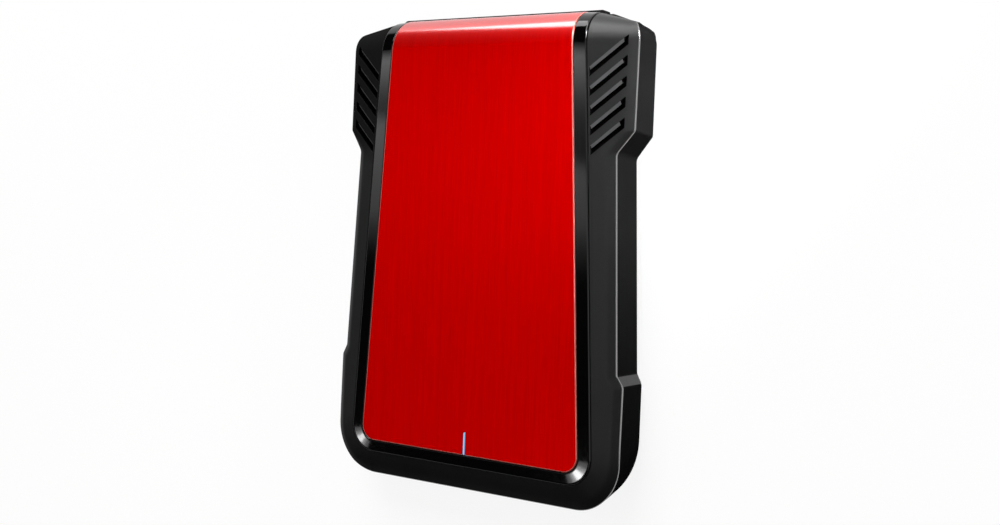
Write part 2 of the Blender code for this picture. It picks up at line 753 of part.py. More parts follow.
def sata_receptacle(material):
    half, rise = nose_reach()
    middle = connector_middle()
    front = along(drive_near)
    back = front - FIT - RECEPTACLE_DEPTH
    low = (CONNECTOR_OFFSET - half, back, middle - rise)
    body = block("sata_receptacle", low,
                 (CONNECTOR_OFFSET + half, front - 2 * FIT, board_bottom - FIT), material)
    tip = front + MATE_DEPTH
    root = front - FIT - RECEPTACLE_UNDER
    nose = block("receptacle_nose", (CONNECTOR_OFFSET - half, root, middle - rise),
                 (CONNECTOR_OFFSET + half, tip, min(middle + rise, board_bottom - FIT)))
    boolean(body, nose, "UNION")
    bm = bmesh.new()
    slot = BLADE_THICK / 2 + FIT
    for start, end in blade_spans(FIT):
        add_block(bm, (start, front - 2 * FIT, middle - slot), (end, tip + FIT, middle + slot))
    boolean(body, piece("receptacle_slots", bm))


def sata_pins(material):
    """Row of solder tails along the back of the receptacle, held by one moulded bar."""
    back = along(drive_near) - FIT - RECEPTACLE_DEPTH - FIT
    top = board_bottom - FIT
    half = PIN_PITCH * (PIN_COUNT - 1) / 2
    bar = block("sata_pins", (CONNECTOR_OFFSET - half - PIN_WIDTH, back - PIN_BAR, top - PIN_BAR_HEIGHT),
                (CONNECTOR_OFFSET + half + PIN_WIDTH, back, top), material)
    bm = bmesh.new()
    for index in range(PIN_COUNT):
        x = CONNECTOR_OFFSET - half + PIN_PITCH * index
        add_block(bm, (x - PIN_WIDTH / 2, back - PIN_LENGTH, top - PIN_THICK),
                  (x + PIN_WIDTH / 2, back - PIN_BAR / 2, top))
    boolean(bar, piece("pin_tails", bm), "UNION")


def cover_level(half, lead, height):
    """Right-hand edge of the cover, its far corners cut back along the ends of the ears."""
    side_x = ear_half - EAR_CORNER
    side_end = ear_round_start + EAR_ROUND
    end_x = bezel_half(face_end)
    far_side = side_end + (LENGTH - side_end) * (side_x - half) / (side_x - end_x)
    cut = COVER_SHORT - lead
    return [(half, along(RAIL_START + FIT - lead), height),
            (half, along(far_side - cut), height),
            (end_x, along(LENGTH - cut), height)]


def back_cover(material, rubber, body):
    """Plate that slides in the side rails, with pads for the drive."""
    tongue_half = bay_half + TONGUE_REACH
    tongue_bottom = RAIL_LIP + FIT
    bm = bmesh.new()
    add_loft(bm, (cover_level(bay_half - FIT, 0.0, cover_bottom),
                  cover_level(bay_half - FIT, 0.0, tongue_bottom),
                  cover_level(tongue_half, TONGUE_LEAD, tongue_bottom),
                  cover_level(tongue_half, TONGUE_LEAD, cover_top)))
    cover = piece("back_cover", bm, material, body)
    lock_y = along(LOCK_FROM_END)
    pocket_half = LOCK_WIDTH / 2 + FIT
    pocket_bottom = cover_bottom + LOCK_FLOOR
    pocket_left = tongue_half - FIT - LOCK_LENGTH - FIT
    pocket = ((pocket_left, lock_y - pocket_half, pocket_bottom),
              (tongue_half + FIT, lock_y + pocket_half, cover_top + FIT))
    boolean(cover, block("lock_pocket", *pocket))
    knob_left = tongue_half - FIT - LOCK_LENGTH + KNOB_INSET
    slot = ((knob_left - FIT, lock_y - KNOB_WIDTH / 2 - FIT, cover_bottom - FIT),
            (knob_left + KNOB_LENGTH + LOCK_TRAVEL + FIT, lock_y + KNOB_WIDTH / 2 + FIT, cover_top))
    boolean(cover, block("knob_slot", *slot))

    start = along(drive_near + (DRIVE_LENGTH - PAD_LENGTH) / 2)
    reach = DRIVE_WIDTH / 2 - PAD_INSET
    for name, middle in (("drive_pad_left", -reach), ("drive_pad_right", reach)):
        block(name, (middle - PAD_WIDTH / 2, start, pad_bottom),
              (middle + PAD_WIDTH / 2, start + PAD_LENGTH, pad_top), rubber, body)


def cover_lock(material, metal, body, slide):
    """Flat bolt with a knob through the cover, and the keeper plate over it."""
    lock_y = along(LOCK_FROM_END)
    tip = bay_half + TONGUE_REACH - FIT
    bottom = cover_bottom + LOCK_FLOOR + FIT
    bolt = block("lock_slider", (tip - LOCK_LENGTH, lock_y - LOCK_WIDTH / 2, bottom),
                 (tip, lock_y + LOCK_WIDTH / 2, bottom + LOCK_THICK), material, slide)
    knob_left = tip - LOCK_LENGTH + KNOB_INSET
    knob = block("lock_knob", (knob_left, lock_y - KNOB_WIDTH / 2, cover_bottom),
                 (knob_left + KNOB_LENGTH, lock_y + KNOB_WIDTH / 2, bottom + LOCK_THICK / 2))
    boolean(bolt, knob, "UNION")
    left = bay_half - 2 * FIT - KEEPER_LENGTH
    keeper_half = LOCK_WIDTH / 2 + FIT + KEEPER_MARGIN
    block("lock_keeper", (left, lock_y - keeper_half, cover_top + FIT),
          (left + KEEPER_LENGTH, lock_y + keeper_half, cover_top + FIT + KEEPER_THICK), metal, body)


def drive_case(metal, body):
    """Tray with corner posts and board ribs, and the plate that closes it."""
    half = DRIVE_WIDTH / 2
    near = along(drive_near)
    far = along(drive_far)
    rim = drive_top - DRIVE_LID - FIT
    tray = block("drive_base", (-half, near, drive_bottom), (half, far, rim), metal, body)
    inner = half - DRIVE_WALL
    step = inner - DRIVE_POST
    low_y = near + DRIVE_WALL
    high_y = far - DRIVE_WALL
    half_plan = [(step, low_y), (step, low_y + DRIVE_POST), (inner, low_y + DRIVE_POST),
                 (inner, high_y - DRIVE_POST), (step, high_y - DRIVE_POST), (step, high_y)]
    outline = half_plan + [(-x, y) for x, y in reversed(half_plan)]
    bm = bmesh.new()
    add_prism(bm, outline, drive_bottom + DRIVE_FLOOR, drive_top)
    boolean(tray, piece("tray_hollow", bm))
    plug_half = nose_reach()[0] + FIT + PLUG_SIDE + FIT
    mouth = ((CONNECTOR_OFFSET - plug_half, near - FIT, drive_bottom + DRIVE_FLOOR),
             (CONNECTOR_OFFSET + plug_half, near + PLUG_DEPTH + FIT, drive_top))
    boolean(tray, block("plug_mouth", *mouth))
    bm = bmesh.new()
    start = near + PLUG_DEPTH + 2 * FIT
    end = start + DRIVE_BOARD_LENGTH
    rib_top = drive_bottom + DRIVE_FLOOR + RIB_HEIGHT
    for side in (-1, 1):
        middle = side * (half - RIB_INSET)
        add_block(bm, (middle - RIB_WIDTH / 2, start, drive_bottom + DRIVE_FLOOR / 2),
                  (middle + RIB_WIDTH / 2, end, rib_top))
    boolean(tray, piece("board_ribs", bm), "UNION")
    block("drive_lid", (-half, near, drive_top - DRIVE_LID), (half, far, drive_top), metal, body)


def drive_plug(material, body):
    """Shrouded plug with its two contact blades."""
    half, rise = nose_reach()
    middle = connector_middle()
    near = along(drive_near)
    back = near + PLUG_DEPTH
    outer = half + FIT + PLUG_SIDE
    low = drive_bottom + DRIVE_FLOOR + FIT
    high = drive_top - DRIVE_LID - FIT
    plug = block("drive_plug", (CONNECTOR_OFFSET - outer, near, low),
                 (CONNECTOR_OFFSET + outer, back, high), material, body)
    cavity = ((CONNECTOR_OFFSET - half - FIT, near - FIT, middle - rise - FIT),
              (CONNECTOR_OFFSET + half + FIT, back - PLUG_BACK, middle + rise + FIT))
    boolean(plug, block("plug_cavity", *cavity))
    bm = bmesh.new()
    for start, end in blade_spans(0.0):
        add_block(bm, (start, near + BLADE_RECESS, middle - BLADE_THICK / 2),
                  (end, back - PLUG_BACK / 2, middle + BLADE_THICK / 2))
    boolean(plug, piece("plug_blades", bm), "UNION")


def drive_electronics(board, chip, pad, body):
    """Drive's own board with its controller, working memory, flash chips and thermal pad."""
    half = DRIVE_WIDTH / 2 - DRIVE_WALL - DRIVE_BOARD_SIDE
    near = along(drive_near) + PLUG_DEPTH + 2 * FIT
    low = drive_bottom + DRIVE_FLOOR + RIB_HEIGHT + FIT
    high = low + DRIVE_BOARD_THICK
    far = near + DRIVE_BOARD_LENGTH
    block("drive_board", (-half, near + DRIVE_WALL, low), (half, far, high), board, body)
    seat = high + FIT
    top = seat + CHIP_HEIGHT
    row = near + DRIVE_WALL + CHIP_SPACE
    left = CONNECTOR_OFFSET - CONTROLLER_SIZE / 2
    block("drive_controller", (left, row, seat),
          (left + CONTROLLER_SIZE, row + CONTROLLER_SIZE, top), chip, body)
    block("thermal_pad", (left, row, top + FIT),
          (left + CONTROLLER_SIZE, row + CONTROLLER_SIZE, drive_top - DRIVE_LID - FIT), pad, body)
    start = left + CONTROLLER_SIZE + CHIP_SPACE
    block("drive_memory", (start, row, seat), (start + MEMORY_WIDTH, row + MEMORY_LENGTH, top), chip, body)
    row += CONTROLLER_SIZE + FIT
    width = (2 * (half - FLASH_MARGIN) - FLASH_GAP * (FLASH_COUNT - 1)) / FLASH_COUNT
    for index in range(FLASH_COUNT):
        x = FLASH_MARGIN - half + (width + FLASH_GAP) * index
        block(f"flash_chip_{index + 1}", (x, row, seat), (x + width, row + FLASH_LENGTH, top), chip, body)


def main():
    clear_scene()
    red_metal = finish("red_anodised", (0.55, 0.0, 0.0), 0.32, 0.9)
    gloss = finish("gloss_black", (0.006, 0.006, 0.007), 0.08)
    matte = finish("matte_black", (0.022, 0.022, 0.023), 0.55)
    grey = finish("lock_grey", (0.06, 0.06, 0.062), 0.5)
    foam = finish("black_foam", (0.03, 0.03, 0.03), 0.9)
    steel = finish("bright_steel", (0.62, 0.62, 0.60), 0.3, 1.0)
    alloy = finish("grey_alloy", (0.45, 0.46, 0.47), 0.4, 1.0)
    green = finish("board_green", (0.01, 0.09, 0.04), 0.45)
    chip = finish("chip_black", (0.015, 0.015, 0.016), 0.5)
    ceramic = finish("tan_ceramic", (0.35, 0.23, 0.13), 0.6)
    gold = finish("gold_plate", (0.75, 0.52, 0.18), 0.25, 1.0)
    clear = finish("clear_acrylic", (0.55, 0.75, 1.0), 0.1)
    lamp = finish("lamp_blue", (0.2, 0.45, 1.0), 0.3)
    tape = finish("clear_tape", (0.6, 0.58, 0.5), 0.6)
    silicone = finish("grey_silicone", (0.3, 0.34, 0.38), 0.8)

    cover_body = carriage("cover_slide", (0, along(LENGTH / 2), cover_bottom))
    lock_body = carriage("lock_slide", (bay_half, along(LOCK_FROM_END), cover_bottom))
    drive_body = carriage("drive_slide", (0, along(drive_near), drive_bottom))

    upper_shell(matte)
    gloss_bezel(gloss)
    front_panel(red_metal)
    panel_tape(tape)
    light_pipe(clear)
    bezel_screws(steel)
    bridge_board(green)
    board_screws(steel)
    usb_socket(steel, chip)
    board_parts(chip, steel, ceramic, lamp)
    sata_receptacle(chip)
    sata_pins(gold)
    back_cover(matte, foam, cover_body)
    cover_lock(grey, steel, cover_body, lock_body)
    drive_case(alloy, drive_body)
    drive_plug(chip, drive_body)
    drive_electronics(green, chip, silicone, drive_body)


main()
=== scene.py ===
import bmesh
import bpy
import numpy as np
from mathutils import Matrix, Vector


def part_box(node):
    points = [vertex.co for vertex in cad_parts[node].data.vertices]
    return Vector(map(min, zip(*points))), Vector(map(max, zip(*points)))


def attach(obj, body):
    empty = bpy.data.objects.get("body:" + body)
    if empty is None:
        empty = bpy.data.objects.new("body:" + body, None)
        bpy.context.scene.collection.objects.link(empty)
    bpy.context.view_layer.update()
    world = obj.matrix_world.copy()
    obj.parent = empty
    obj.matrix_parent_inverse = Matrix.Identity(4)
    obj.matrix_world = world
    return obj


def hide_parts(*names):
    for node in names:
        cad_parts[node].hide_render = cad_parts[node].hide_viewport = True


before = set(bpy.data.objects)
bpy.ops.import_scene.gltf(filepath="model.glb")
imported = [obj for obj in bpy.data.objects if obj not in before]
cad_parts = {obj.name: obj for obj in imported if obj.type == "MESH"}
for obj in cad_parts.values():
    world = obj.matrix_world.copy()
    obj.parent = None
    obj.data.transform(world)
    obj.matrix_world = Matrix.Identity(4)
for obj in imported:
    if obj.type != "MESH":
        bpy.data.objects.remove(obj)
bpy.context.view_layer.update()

mm = 0.001

# lengths below are millimetres, x across, d from the light end, z up from the back

caseForm = {
    "bumpHalf": 45.0, "bumpEnd": 31.9, "waistStart": 34.55, "waistNearHalf": 43.35,
    "waistFarHalf": 40.7, "earStart": 88.15, "earFull": 93.7, "earHalf": 45.0,
    "earTip": 115.3, "earCorner": 3.0, "earTurn": 5.0, "earFullness": 0.35, "endHalf": 31.75,
    "cornerTop": 13.0, "cornerFoot": 18.0, "footRun": 2.4, "footRise": 4.0, "earRise": 3.5,
    "farWallTop": 7.2, "earEnd": 122.85, "endLean": 1.5, "middleLean": 0.3, "middleStep": 0.8,
    "endDraft": 0.6, "endDip": 0.3, "rampLean": 0.9, "stepRound": 1.4, "rampInner": 2.4, "rampOuter": 1.2,
    "slopeNear": 0.516, "slopeBump": 0.33, "slopeWaist": 0.35, "slopeEar": 0.29,
    "shoulder": 2.1, "shoulderSlope": 0.62, "shoulderReach": 0.8, "edgeReach": 0.27, "tipReach": 0.03,
    "footReach": 0.5, "lowReach": 0.5, "endReach": 0.8, "lip": 0.22, "seamGap": 0.16, "seamDrop": 0.42,
    "seamStart": 15.0, "turnEase": 1.6, "fadeTurn": 0.9, "footStrip": 1.0, "footAim": (0.0, 60.0),
    "nearBend": 0.4, "nearLift": 0.03, "stepMargin": 0.2,
}
faceForm = {
    "bezelNear": 6.6, "halfNear": 38.2, "taper": 6.75, "corner": 7.0, "bendRadius": 8.5,
    "endInset": 0.6, "rim": 3.7, "rimNear": 3.1, "panelCorner": 4.0, "rimDrop": 0.28, "lipDrop": 0.1,
    "panelThick": 1.0, "deckDepth": 1.8, "seatDepth": 3.3, "panelGap": 0.12, "flange": 6.0, "deckFloor": 13.0,
    "bezelReaches": (0.3, 0.22, 0.2, 0.2), "panelBand": 2.0, "panelEase": 0.28, "sideLead": 1.0,
}
stepCounts = {"near": 8, "corner": 20, "side": 4, "round": 5, "waist": 10, "face": 25, "bend": 12,
              "slope": 14, "rim": 8, "arc": 4, "edge": 6, "turn": 16}
flip = np.array([-1.0, 1.0, 1.0])  # right half to left half

shellLow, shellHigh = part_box("upper_shell")
caseLength = round((shellHigh.y - shellLow.y) / mm, 2)
caseHeight = round(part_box("front_panel")[1].z / mm, 2)
bendStart = caseLength - faceForm["endInset"] - faceForm["bendRadius"]
bendHeight = caseHeight - faceForm["bendRadius"]
faceEnd = bendStart + faceForm["bendRadius"] * np.pi / 2


def unit(vectors):
    return vectors / np.linalg.norm(vectors, axis=-1, keepdims=True)


# circular arc as a conic whose middle weight is the cosine of half the turn
def conicArc(start, corner, end, steps):
    turn = np.sum(unit(corner - start) * unit(end - corner), axis=-1, keepdims=True)
    weight = np.sqrt(np.clip((1 + turn) / 2, 0.0, 1.0))[..., None, :]
    s = np.linspace(0, 1, steps + 1)[:, None]
    low, mid, high = (1 - s) ** 2, 2 * s * (1 - s) * weight, s ** 2
    blend = low * start[..., None, :] + mid * corner[..., None, :] + high * end[..., None, :]
    return blend / (low + mid + high)


# plan outline: straight runs between corners, each corner turned into an arc of its radius
def roundPath(corners, radii, runs, arcs):
    corners = np.asarray(corners, float)
    points = [corners[:1]]
    for k in range(1, len(corners) - 1):
        into, out = unit(corners[k] - corners[k - 1]), unit(corners[k + 1] - corners[k])
        setback = radii[k - 1] * np.sqrt((1 - into @ out) / (1 + into @ out))
        start, end = corners[k] - into * setback, corners[k] + out * setback
        run = np.linspace(points[-1][-1], start, runs[k - 1] + 1)[1:]
        points += [run, conicArc(start, corners[k], end, arcs[k - 1])[1:]]
    return np.concatenate(points)


# section rows: each inner corner of the section is eased by an arc that starts its reach away
def filletRows(points, reaches, steps):
    rows = [points[:, :1]]
    for k in range(1, points.shape[1] - 1):
        corner = points[:, k]
        back, ahead = points[:, k - 1] - corner, points[:, k + 1] - corner
        room = np.minimum(np.linalg.norm(back, axis=1), np.linalg.norm(ahead, axis=1)) * 0.49
        reach = np.minimum(reaches[k - 1], room)[:, None]
        start, end = corner + unit(back) * reach, corner + unit(ahead) * reach
        rows.append(conicArc(start, corner, end, steps[k - 1]))
    rows.append(points[:, -1:])
    return np.concatenate(rows, axis=1)


# one strip of the rows cut into equal strips
def splitRow(rows, index, count):
    share = np.linspace(0, 1, count + 1)[1:-1, None]
    added = rows[:, index:index + 1] * (1 - share) + rows[:, index + 1:index + 2] * share
    return np.concatenate([rows[:, :index + 1], added, rows[:, index + 1:]], axis=1)


# grid of points joined by quads
def gridPatch(points, closed=False):
    rows, cols = points.shape[:2]
    index = np.arange(rows * cols).reshape(rows, cols)
    if closed:
        index = np.concatenate([index, index[:, :1]], axis=1)
    quads = np.stack([index[:-1, :-1], index[1:, :-1], index[1:, 1:], index[:-1, 1:]], axis=-1)
    return points.reshape(-1, 3), quads.reshape(-1, 4)


def mirrored(patch):
    return (patch[0] * flip, patch[1][:, ::-1], *patch[2:])


# one section and its mirror image, as the two ends of a straight strip
def acrossMiddle(row):
    return np.stack([row * flip, row])


# strip between a right-hand chain of points and its mirror image
def bridged(chain):
    return gridPatch(np.stack([chain, chain * flip], axis=1))


# closed box between two corners
def boxPatch(low, high):
    (x0, d0, z0), (x1, d1, z1) = low, high
    ring = np.array([[x0, d0], [x1, d0], [x1, d1], [x0, d1]], float)
    return prismPatches(ring, z0, z1)


def atHeight(outline, z):
    return np.column_stack([outline, np.zeros(len(outline)) + z])


# outline carried straight up between two heights
def prismPatches(outline, z0, z1):
    return loftPatches(np.stack([atHeight(outline, z0), atHeight(outline, z1)]))


# closed body through rings of points, with a flat polygon on the first and last ring
def loftPatches(rings):
    count = rings.shape[1]
    points, quads = gridPatch(rings, closed=True)
    last = (rings.shape[0] - 1) * count + np.arange(count)
    return points, [tuple(q) for q in quads] + [tuple(range(count))] + [tuple(last[::-1])]


# patches hold points, faces and a finish number; millimetres from the light end become metres from the middle
def buildMesh(name, patches, materials=(), smoothDegrees=32):
    points, faces, finishes, start = [], [], [], 0
    for patchPoints, patchFaces, *finish in patches:
        points.append(patchPoints)
        faces += [tuple(int(v) + start for v in face) for face in patchFaces]
        finishes.append(np.full(len(patchFaces), 0) + np.array(finish[0] if finish else 0))
        start += len(patchPoints)
    points = np.concatenate(points)
    world = np.column_stack([points[:, 0], points[:, 1] - caseLength / 2, points[:, 2]]) * mm
    mesh = bpy.data.meshes.new(name)
    mesh.from_pydata(world, [], faces)
    for material in materials:
        mesh.materials.append(material)
    mesh.polygons.foreach_set("material_index", np.concatenate(finishes).astype(np.int32))
    tidyMesh(mesh, smoothDegrees)
    obj = bpy.data.objects.new(name, mesh)
    bpy.context.scene.collection.objects.link(obj)
    return obj


# doubles and slivers go, a three-sided gap is closed, faces point outwards
def tidyMesh(mesh, smoothDegrees):
    bm = bmesh.new()
    bm.from_mesh(mesh)
    bmesh.ops.remove_doubles(bm, verts=bm.verts, dist=2e-6)
    bmesh.ops.dissolve_degenerate(bm, edges=bm.edges, dist=1e-7)
    bmesh.ops.holes_fill(bm, edges=bm.edges, sides=3)
    bmesh.ops.recalc_face_normals(bm, faces=bm.faces)
    bm.to_mesh(mesh)
    bm.free()
    mesh.shade_smooth()
    mesh.set_sharp_from_angle(angle=np.radians(smoothDegrees))


# each cutter is taken out of the piece in turn, and the result becomes its mesh
def cutAway(obj, cutters, smoothDegrees=32):
    tools = []
    for number, patch in enumerate(cutters):
        tool = buildMesh(obj.name + ".cutter" + str(number), [patch], obj.data.materials)
        cut = obj.modifiers.new(tool.name, "BOOLEAN")
        cut.operation, cut.solver, cut.object = "DIFFERENCE", "EXACT", tool
        tools.append(tool)
    depsgraph = bpy.context.evaluated_depsgraph_get()
    mesh = bpy.data.meshes.new_from_object(obj.evaluated_get(depsgraph))
    obj.modifiers.clear()
    obj.data = mesh
    mesh.name = obj.name
    for tool in tools:
        bpy.data.objects.remove(tool)
    tidyMesh(mesh, smoothDegrees)


def addWeighted(obj):
    weighted = obj.modifiers.new("evenNormals", "WEIGHTED_NORMAL")
    weighted.keep_sharp = True
    weighted.weight = 60


# flat face up to the bend, then a quarter turn about the bend's axis
def onFace(x, d, depth):
    angle = np.clip((d - bendStart) / faceForm["bendRadius"], 0, np.pi / 2)
    radius = faceForm["bendRadius"] - depth
    z = bendHeight + radius * np.cos(angle)
    return np.stack([x, np.minimum(d, bendStart) + radius * np.sin(angle), z + 0 * x], axis=-1)


# half width of the bezel, falling evenly from its near corner to the end of the bend
def bezelHalf(d):
    start = faceForm["bezelNear"] + faceForm["corner"]
    return faceForm["halfNear"] - faceForm["taper"] * (d - start) / (faceEnd - start)


# right half of an outline on the face: near edge from the middle, corner arc, tapering side
def faceEdge(inset, insetNear, radius, sideD):
    near = faceForm["bezelNear"] + insetNear
    half = bezelHalf(near + radius) - inset
    turn = np.linspace(0, np.pi / 2, stepCounts["corner"] + 1)
    nearX = np.linspace(0, half - radius, stepCounts["near"] + 1)[:-1]
    x = np.concatenate([nearX, half - radius + radius * np.sin(turn), bezelHalf(sideD) - inset])
    d = np.concatenate([0 * nearX + near, near + radius - radius * np.cos(turn), sideD])
    return x, d


# stations along a side of the face: even steps to the bend, then over it
def plainSide():
    corner = faceForm["bezelNear"] + faceForm["corner"] + faceForm["sideLead"]
    bend = np.linspace(bendStart, faceEnd, stepCounts["bend"] + 1)[1:]
    return np.concatenate([np.linspace(corner, bendStart, stepCounts["face"]), bend])


# case shell: a section from foot to seam carried round the plan; at each ear's end the edge follows a
# quarter ellipse and drops with a power of the cosine while the seam follows the bend
def caseShell():
    c, n = caseForm, stepCounts
    corners = np.array([(0, 0), (c["bumpHalf"], 0), (c["bumpHalf"], c["bumpEnd"]),
                        (c["waistNearHalf"], c["waistStart"]), (c["waistFarHalf"], c["earStart"]),
                        (c["earHalf"], c["earFull"]), (c["earHalf"], c["earTip"])], float)
    runs = [n["near"], n["side"], 2, n["waist"], 2]
    arcs = [n["corner"], n["round"], n["round"], n["round"], n["round"]]
    turn = np.pi / 2 * (1 - (1 - np.linspace(0, 1, n["turn"] + 1)[1:]) ** c["turnEase"])
    ellipse = np.column_stack([np.cos(turn), np.sin(turn)])
    radii = np.array([c["earCorner"], c["earTurn"]])
    outward = unit(ellipse / radii)

    def plan(inset, nearRadius, rampLean, endInset):
        moved = corners + np.array([(0, inset)] + [(-inset, 0)] * 6)
        moved[1, 1] += inset
        moved[4:6, 1] -= rampLean
        rounds = [nearRadius - inset, c["stepRound"], c["stepRound"], c["rampInner"], c["rampOuter"]]
        flat = roundPath(moved, rounds, runs, arcs)
        run = np.linspace(flat[-1], moved[-1], n["side"] + 3)[1:]
        depth = inset + (endInset - inset) * ellipse[:, 1:]
        tip = corners[-1] - (c["earCorner"], 0) + ellipse * radii - outward * depth
        return np.concatenate([flat, run, tip])

    top = plan(0, c["cornerTop"], 0, 0)
    low = plan(0, c["cornerFoot"], c["rampLean"], c["endLean"] * c["endDraft"])
    foot = plan(c["footRun"], c["cornerFoot"], c["rampLean"], c["endLean"])
    stations = len(top)
    sideStart = n["near"] + n["corner"] + 1
    earArc = stations - 1 - n["turn"]
    outerD = top[sideStart:earArc + 1, 1]
    share = (outerD - outerD[0]) / (outerD[-1] - outerD[0])
    pathD = np.concatenate([c["seamStart"] + share * (bendStart - c["seamStart"]),
                            bendStart + faceForm["bendRadius"] * turn])

    def seam(grow):
        gap = c["seamGap"] + grow
        return faceEdge(-gap, -gap, faceForm["corner"] + gap, pathD)

    lipX, lipD = seam(c["lip"])
    seamX, seamD = seam(0)
    lipPoints = onFace(lipX, lipD, c["seamDrop"] + c["lip"] * c["slopeBump"])
    slope = np.interp(top[:, 1], [c["bumpEnd"], c["waistStart"], c["earStart"], c["earFull"]],
                      [c["slopeBump"], c["slopeWaist"], c["slopeWaist"], c["slopeEar"]])
    order = np.arange(stations)
    nearTurn = [n["near"], n["near"] + c["nearBend"] * n["corner"], sideStart - 1]
    slope[:sideStart] = np.interp(order[:sideStart], nearTurn,
                                  [c["slopeNear"], c["slopeBump"] + c["nearLift"], c["slopeBump"]])
    away = np.hypot(top[:, 0] - lipPoints[:, 0], top[:, 1] - lipPoints[:, 1])
    away[sideStart:] = top[sideStart:, 0] - lipPoints[sideStart:, 0]
    edgeZ = lipPoints[:, 2] - slope * away
    drop = np.clip(np.cos(turn), 0, 1) ** c["earFullness"]
    edgeZ[earArc + 1:] = c["farWallTop"] + (edgeZ[earArc] - c["farWallTop"]) * drop

    inner = foot + unit(np.array(c["footAim"]) - foot) * c["footStrip"]
    rise = np.interp(top[:, 1], [c["bumpEnd"], c["waistStart"]], [c["footRise"], c["earRise"]])
    reach = np.interp(order, [earArc, stations - 1], [c["edgeReach"], c["tipReach"]])
    edge = atHeight(top, edgeZ)
    band = c["shoulder"] / np.linalg.norm((lipPoints - edge)[:, :2], axis=1, keepdims=True)
    fade = np.concatenate([np.ones(earArc + 1), np.clip(1 - turn / c["fadeTurn"], 0, 1)])
    shoulder = edge + (lipPoints - edge) * band
    shoulder[:, 2] += fade * np.maximum(edgeZ + c["shoulder"] * c["shoulderSlope"] - shoulder[:, 2], 0)
    section = np.stack([atHeight(inner, 0), atHeight(foot, 0), atHeight(low, rise), edge, shoulder,
                        lipPoints], axis=1)
    wall = filletRows(section, [c["footReach"], c["lowReach"], reach, c["shoulderReach"]],
                      [n["arc"], n["arc"], n["edge"], n["edge"]])
    edgeStart = 1 + 2 * (n["arc"] + 1)
    edgeEnd = edgeStart + n["edge"]
    side = splitRow(wall, wall.shape[1] - 2, n["slope"])

    # end wall: ruled between the last section and a drafted section beside the bezel's end
    lastRow = side[-1, edgeEnd:]
    f = ((lastRow[0, 0] - lastRow[:, 0]) / (lastRow[0, 0] - lastRow[-1, 0]))[:, None, None]
    endX = c["endHalf"]

    def endPlan(x, d, lean):
        strip = c["footStrip"]
        return np.array([[x - strip, d - strip - lean, 0], [x, d - lean, 0],
                         [x, d - lean * c["endDraft"], c["earRise"]], [x, d, c["farWallTop"] - c["endDip"]]])

    cornerPlan = np.concatenate([section[-1, :3], [section[-1, 3] - (0, 0, c["endDip"])]])
    sections = cornerPlan[None] * (1 - f) + endPlan(endX, c["earEnd"], c["endLean"])[None] * f
    middle = endPlan(endX - c["middleStep"], caseLength, c["middleLean"])
    sections = np.concatenate([sections, middle[None]])
    topRow = np.concatenate([lastRow, lastRow[-1:]])
    sections = np.concatenate([sections, topRow[:, None]], axis=1)[1:]
    ends = filletRows(sections, [c["footReach"], c["lowReach"], c["endReach"]],
                      [n["arc"], n["arc"], n["edge"]])
    first = np.concatenate([wall[-1, :edgeEnd + 1], lastRow[:1]])
    ends = np.concatenate([first[None], ends])

    seat = onFace(seamX, seamD, faceForm["seatDepth"])
    lipSection = np.stack([lipPoints, onFace(seamX, seamD, c["seamDrop"]), seat], axis=1)
    lips = filletRows(lipSection, [c["lip"]], [n["arc"]])
    side, lips, top = side[n["near"]:], lips[n["near"]:], top[n["near"]:]
    chain = np.concatenate([side[:, 0], ends[1:, 0], ends[-1, 1:], lips[-1, 1:], lips[::-1, -1]])
    margin = c["stepMargin"]
    stepA, stepB = np.searchsorted(top[:, 1], [c["bumpEnd"] + margin, c["waistStart"] - margin])

    # fillet strip takes finish 1, the edge copy with its painted highlight; the slope strip takes finish 4,
    # the front copy with its painted sheen
    def strips(rows, lipRows):
        return [(*gridPatch(rows[:, edgeStart:edgeEnd + 1]), 1), (*gridPatch(rows[:, edgeEnd:]), 4),
                gridPatch(lipRows)]

    walls = side[:, :edgeStart + 1]
    patches = [gridPatch(walls[:stepA + 1]), (*gridPatch(walls[stepA:stepB + 1]), 5),
               gridPatch(walls[stepB:]), gridPatch(ends)] + strips(side, lips)
    patches += [mirrored(patch) for patch in patches]
    # the straight near run is one strip from side to side
    near, nearLip = acrossMiddle(side[0]), acrossMiddle(lips[0])
    patches += [gridPatch(near[:, :edgeStart + 1]), *strips(near, nearLip), bridged(chain)]
    return buildMesh("case_shell", patches,
                     [matteBlack, edgeBlackPaintedHighlight, ventPaintedShade, ventPaintedLightSlope, frontBlackPaintedSheen, stepBlack])


slotForm = {"count": 5, "pitch": 5.0, "first": 94.35, "outer": 42.6, "margin": 0.75, "slant": 0.83,
            "width": 2.4, "floorWidth": 1.6, "endLength": 1.15, "depth": 1.4, "bevelDepth": 0.5,
            "edge": 0.12, "above": 0.4, "lead": 6.0, "shy": 0.02, "inside": 0.3}


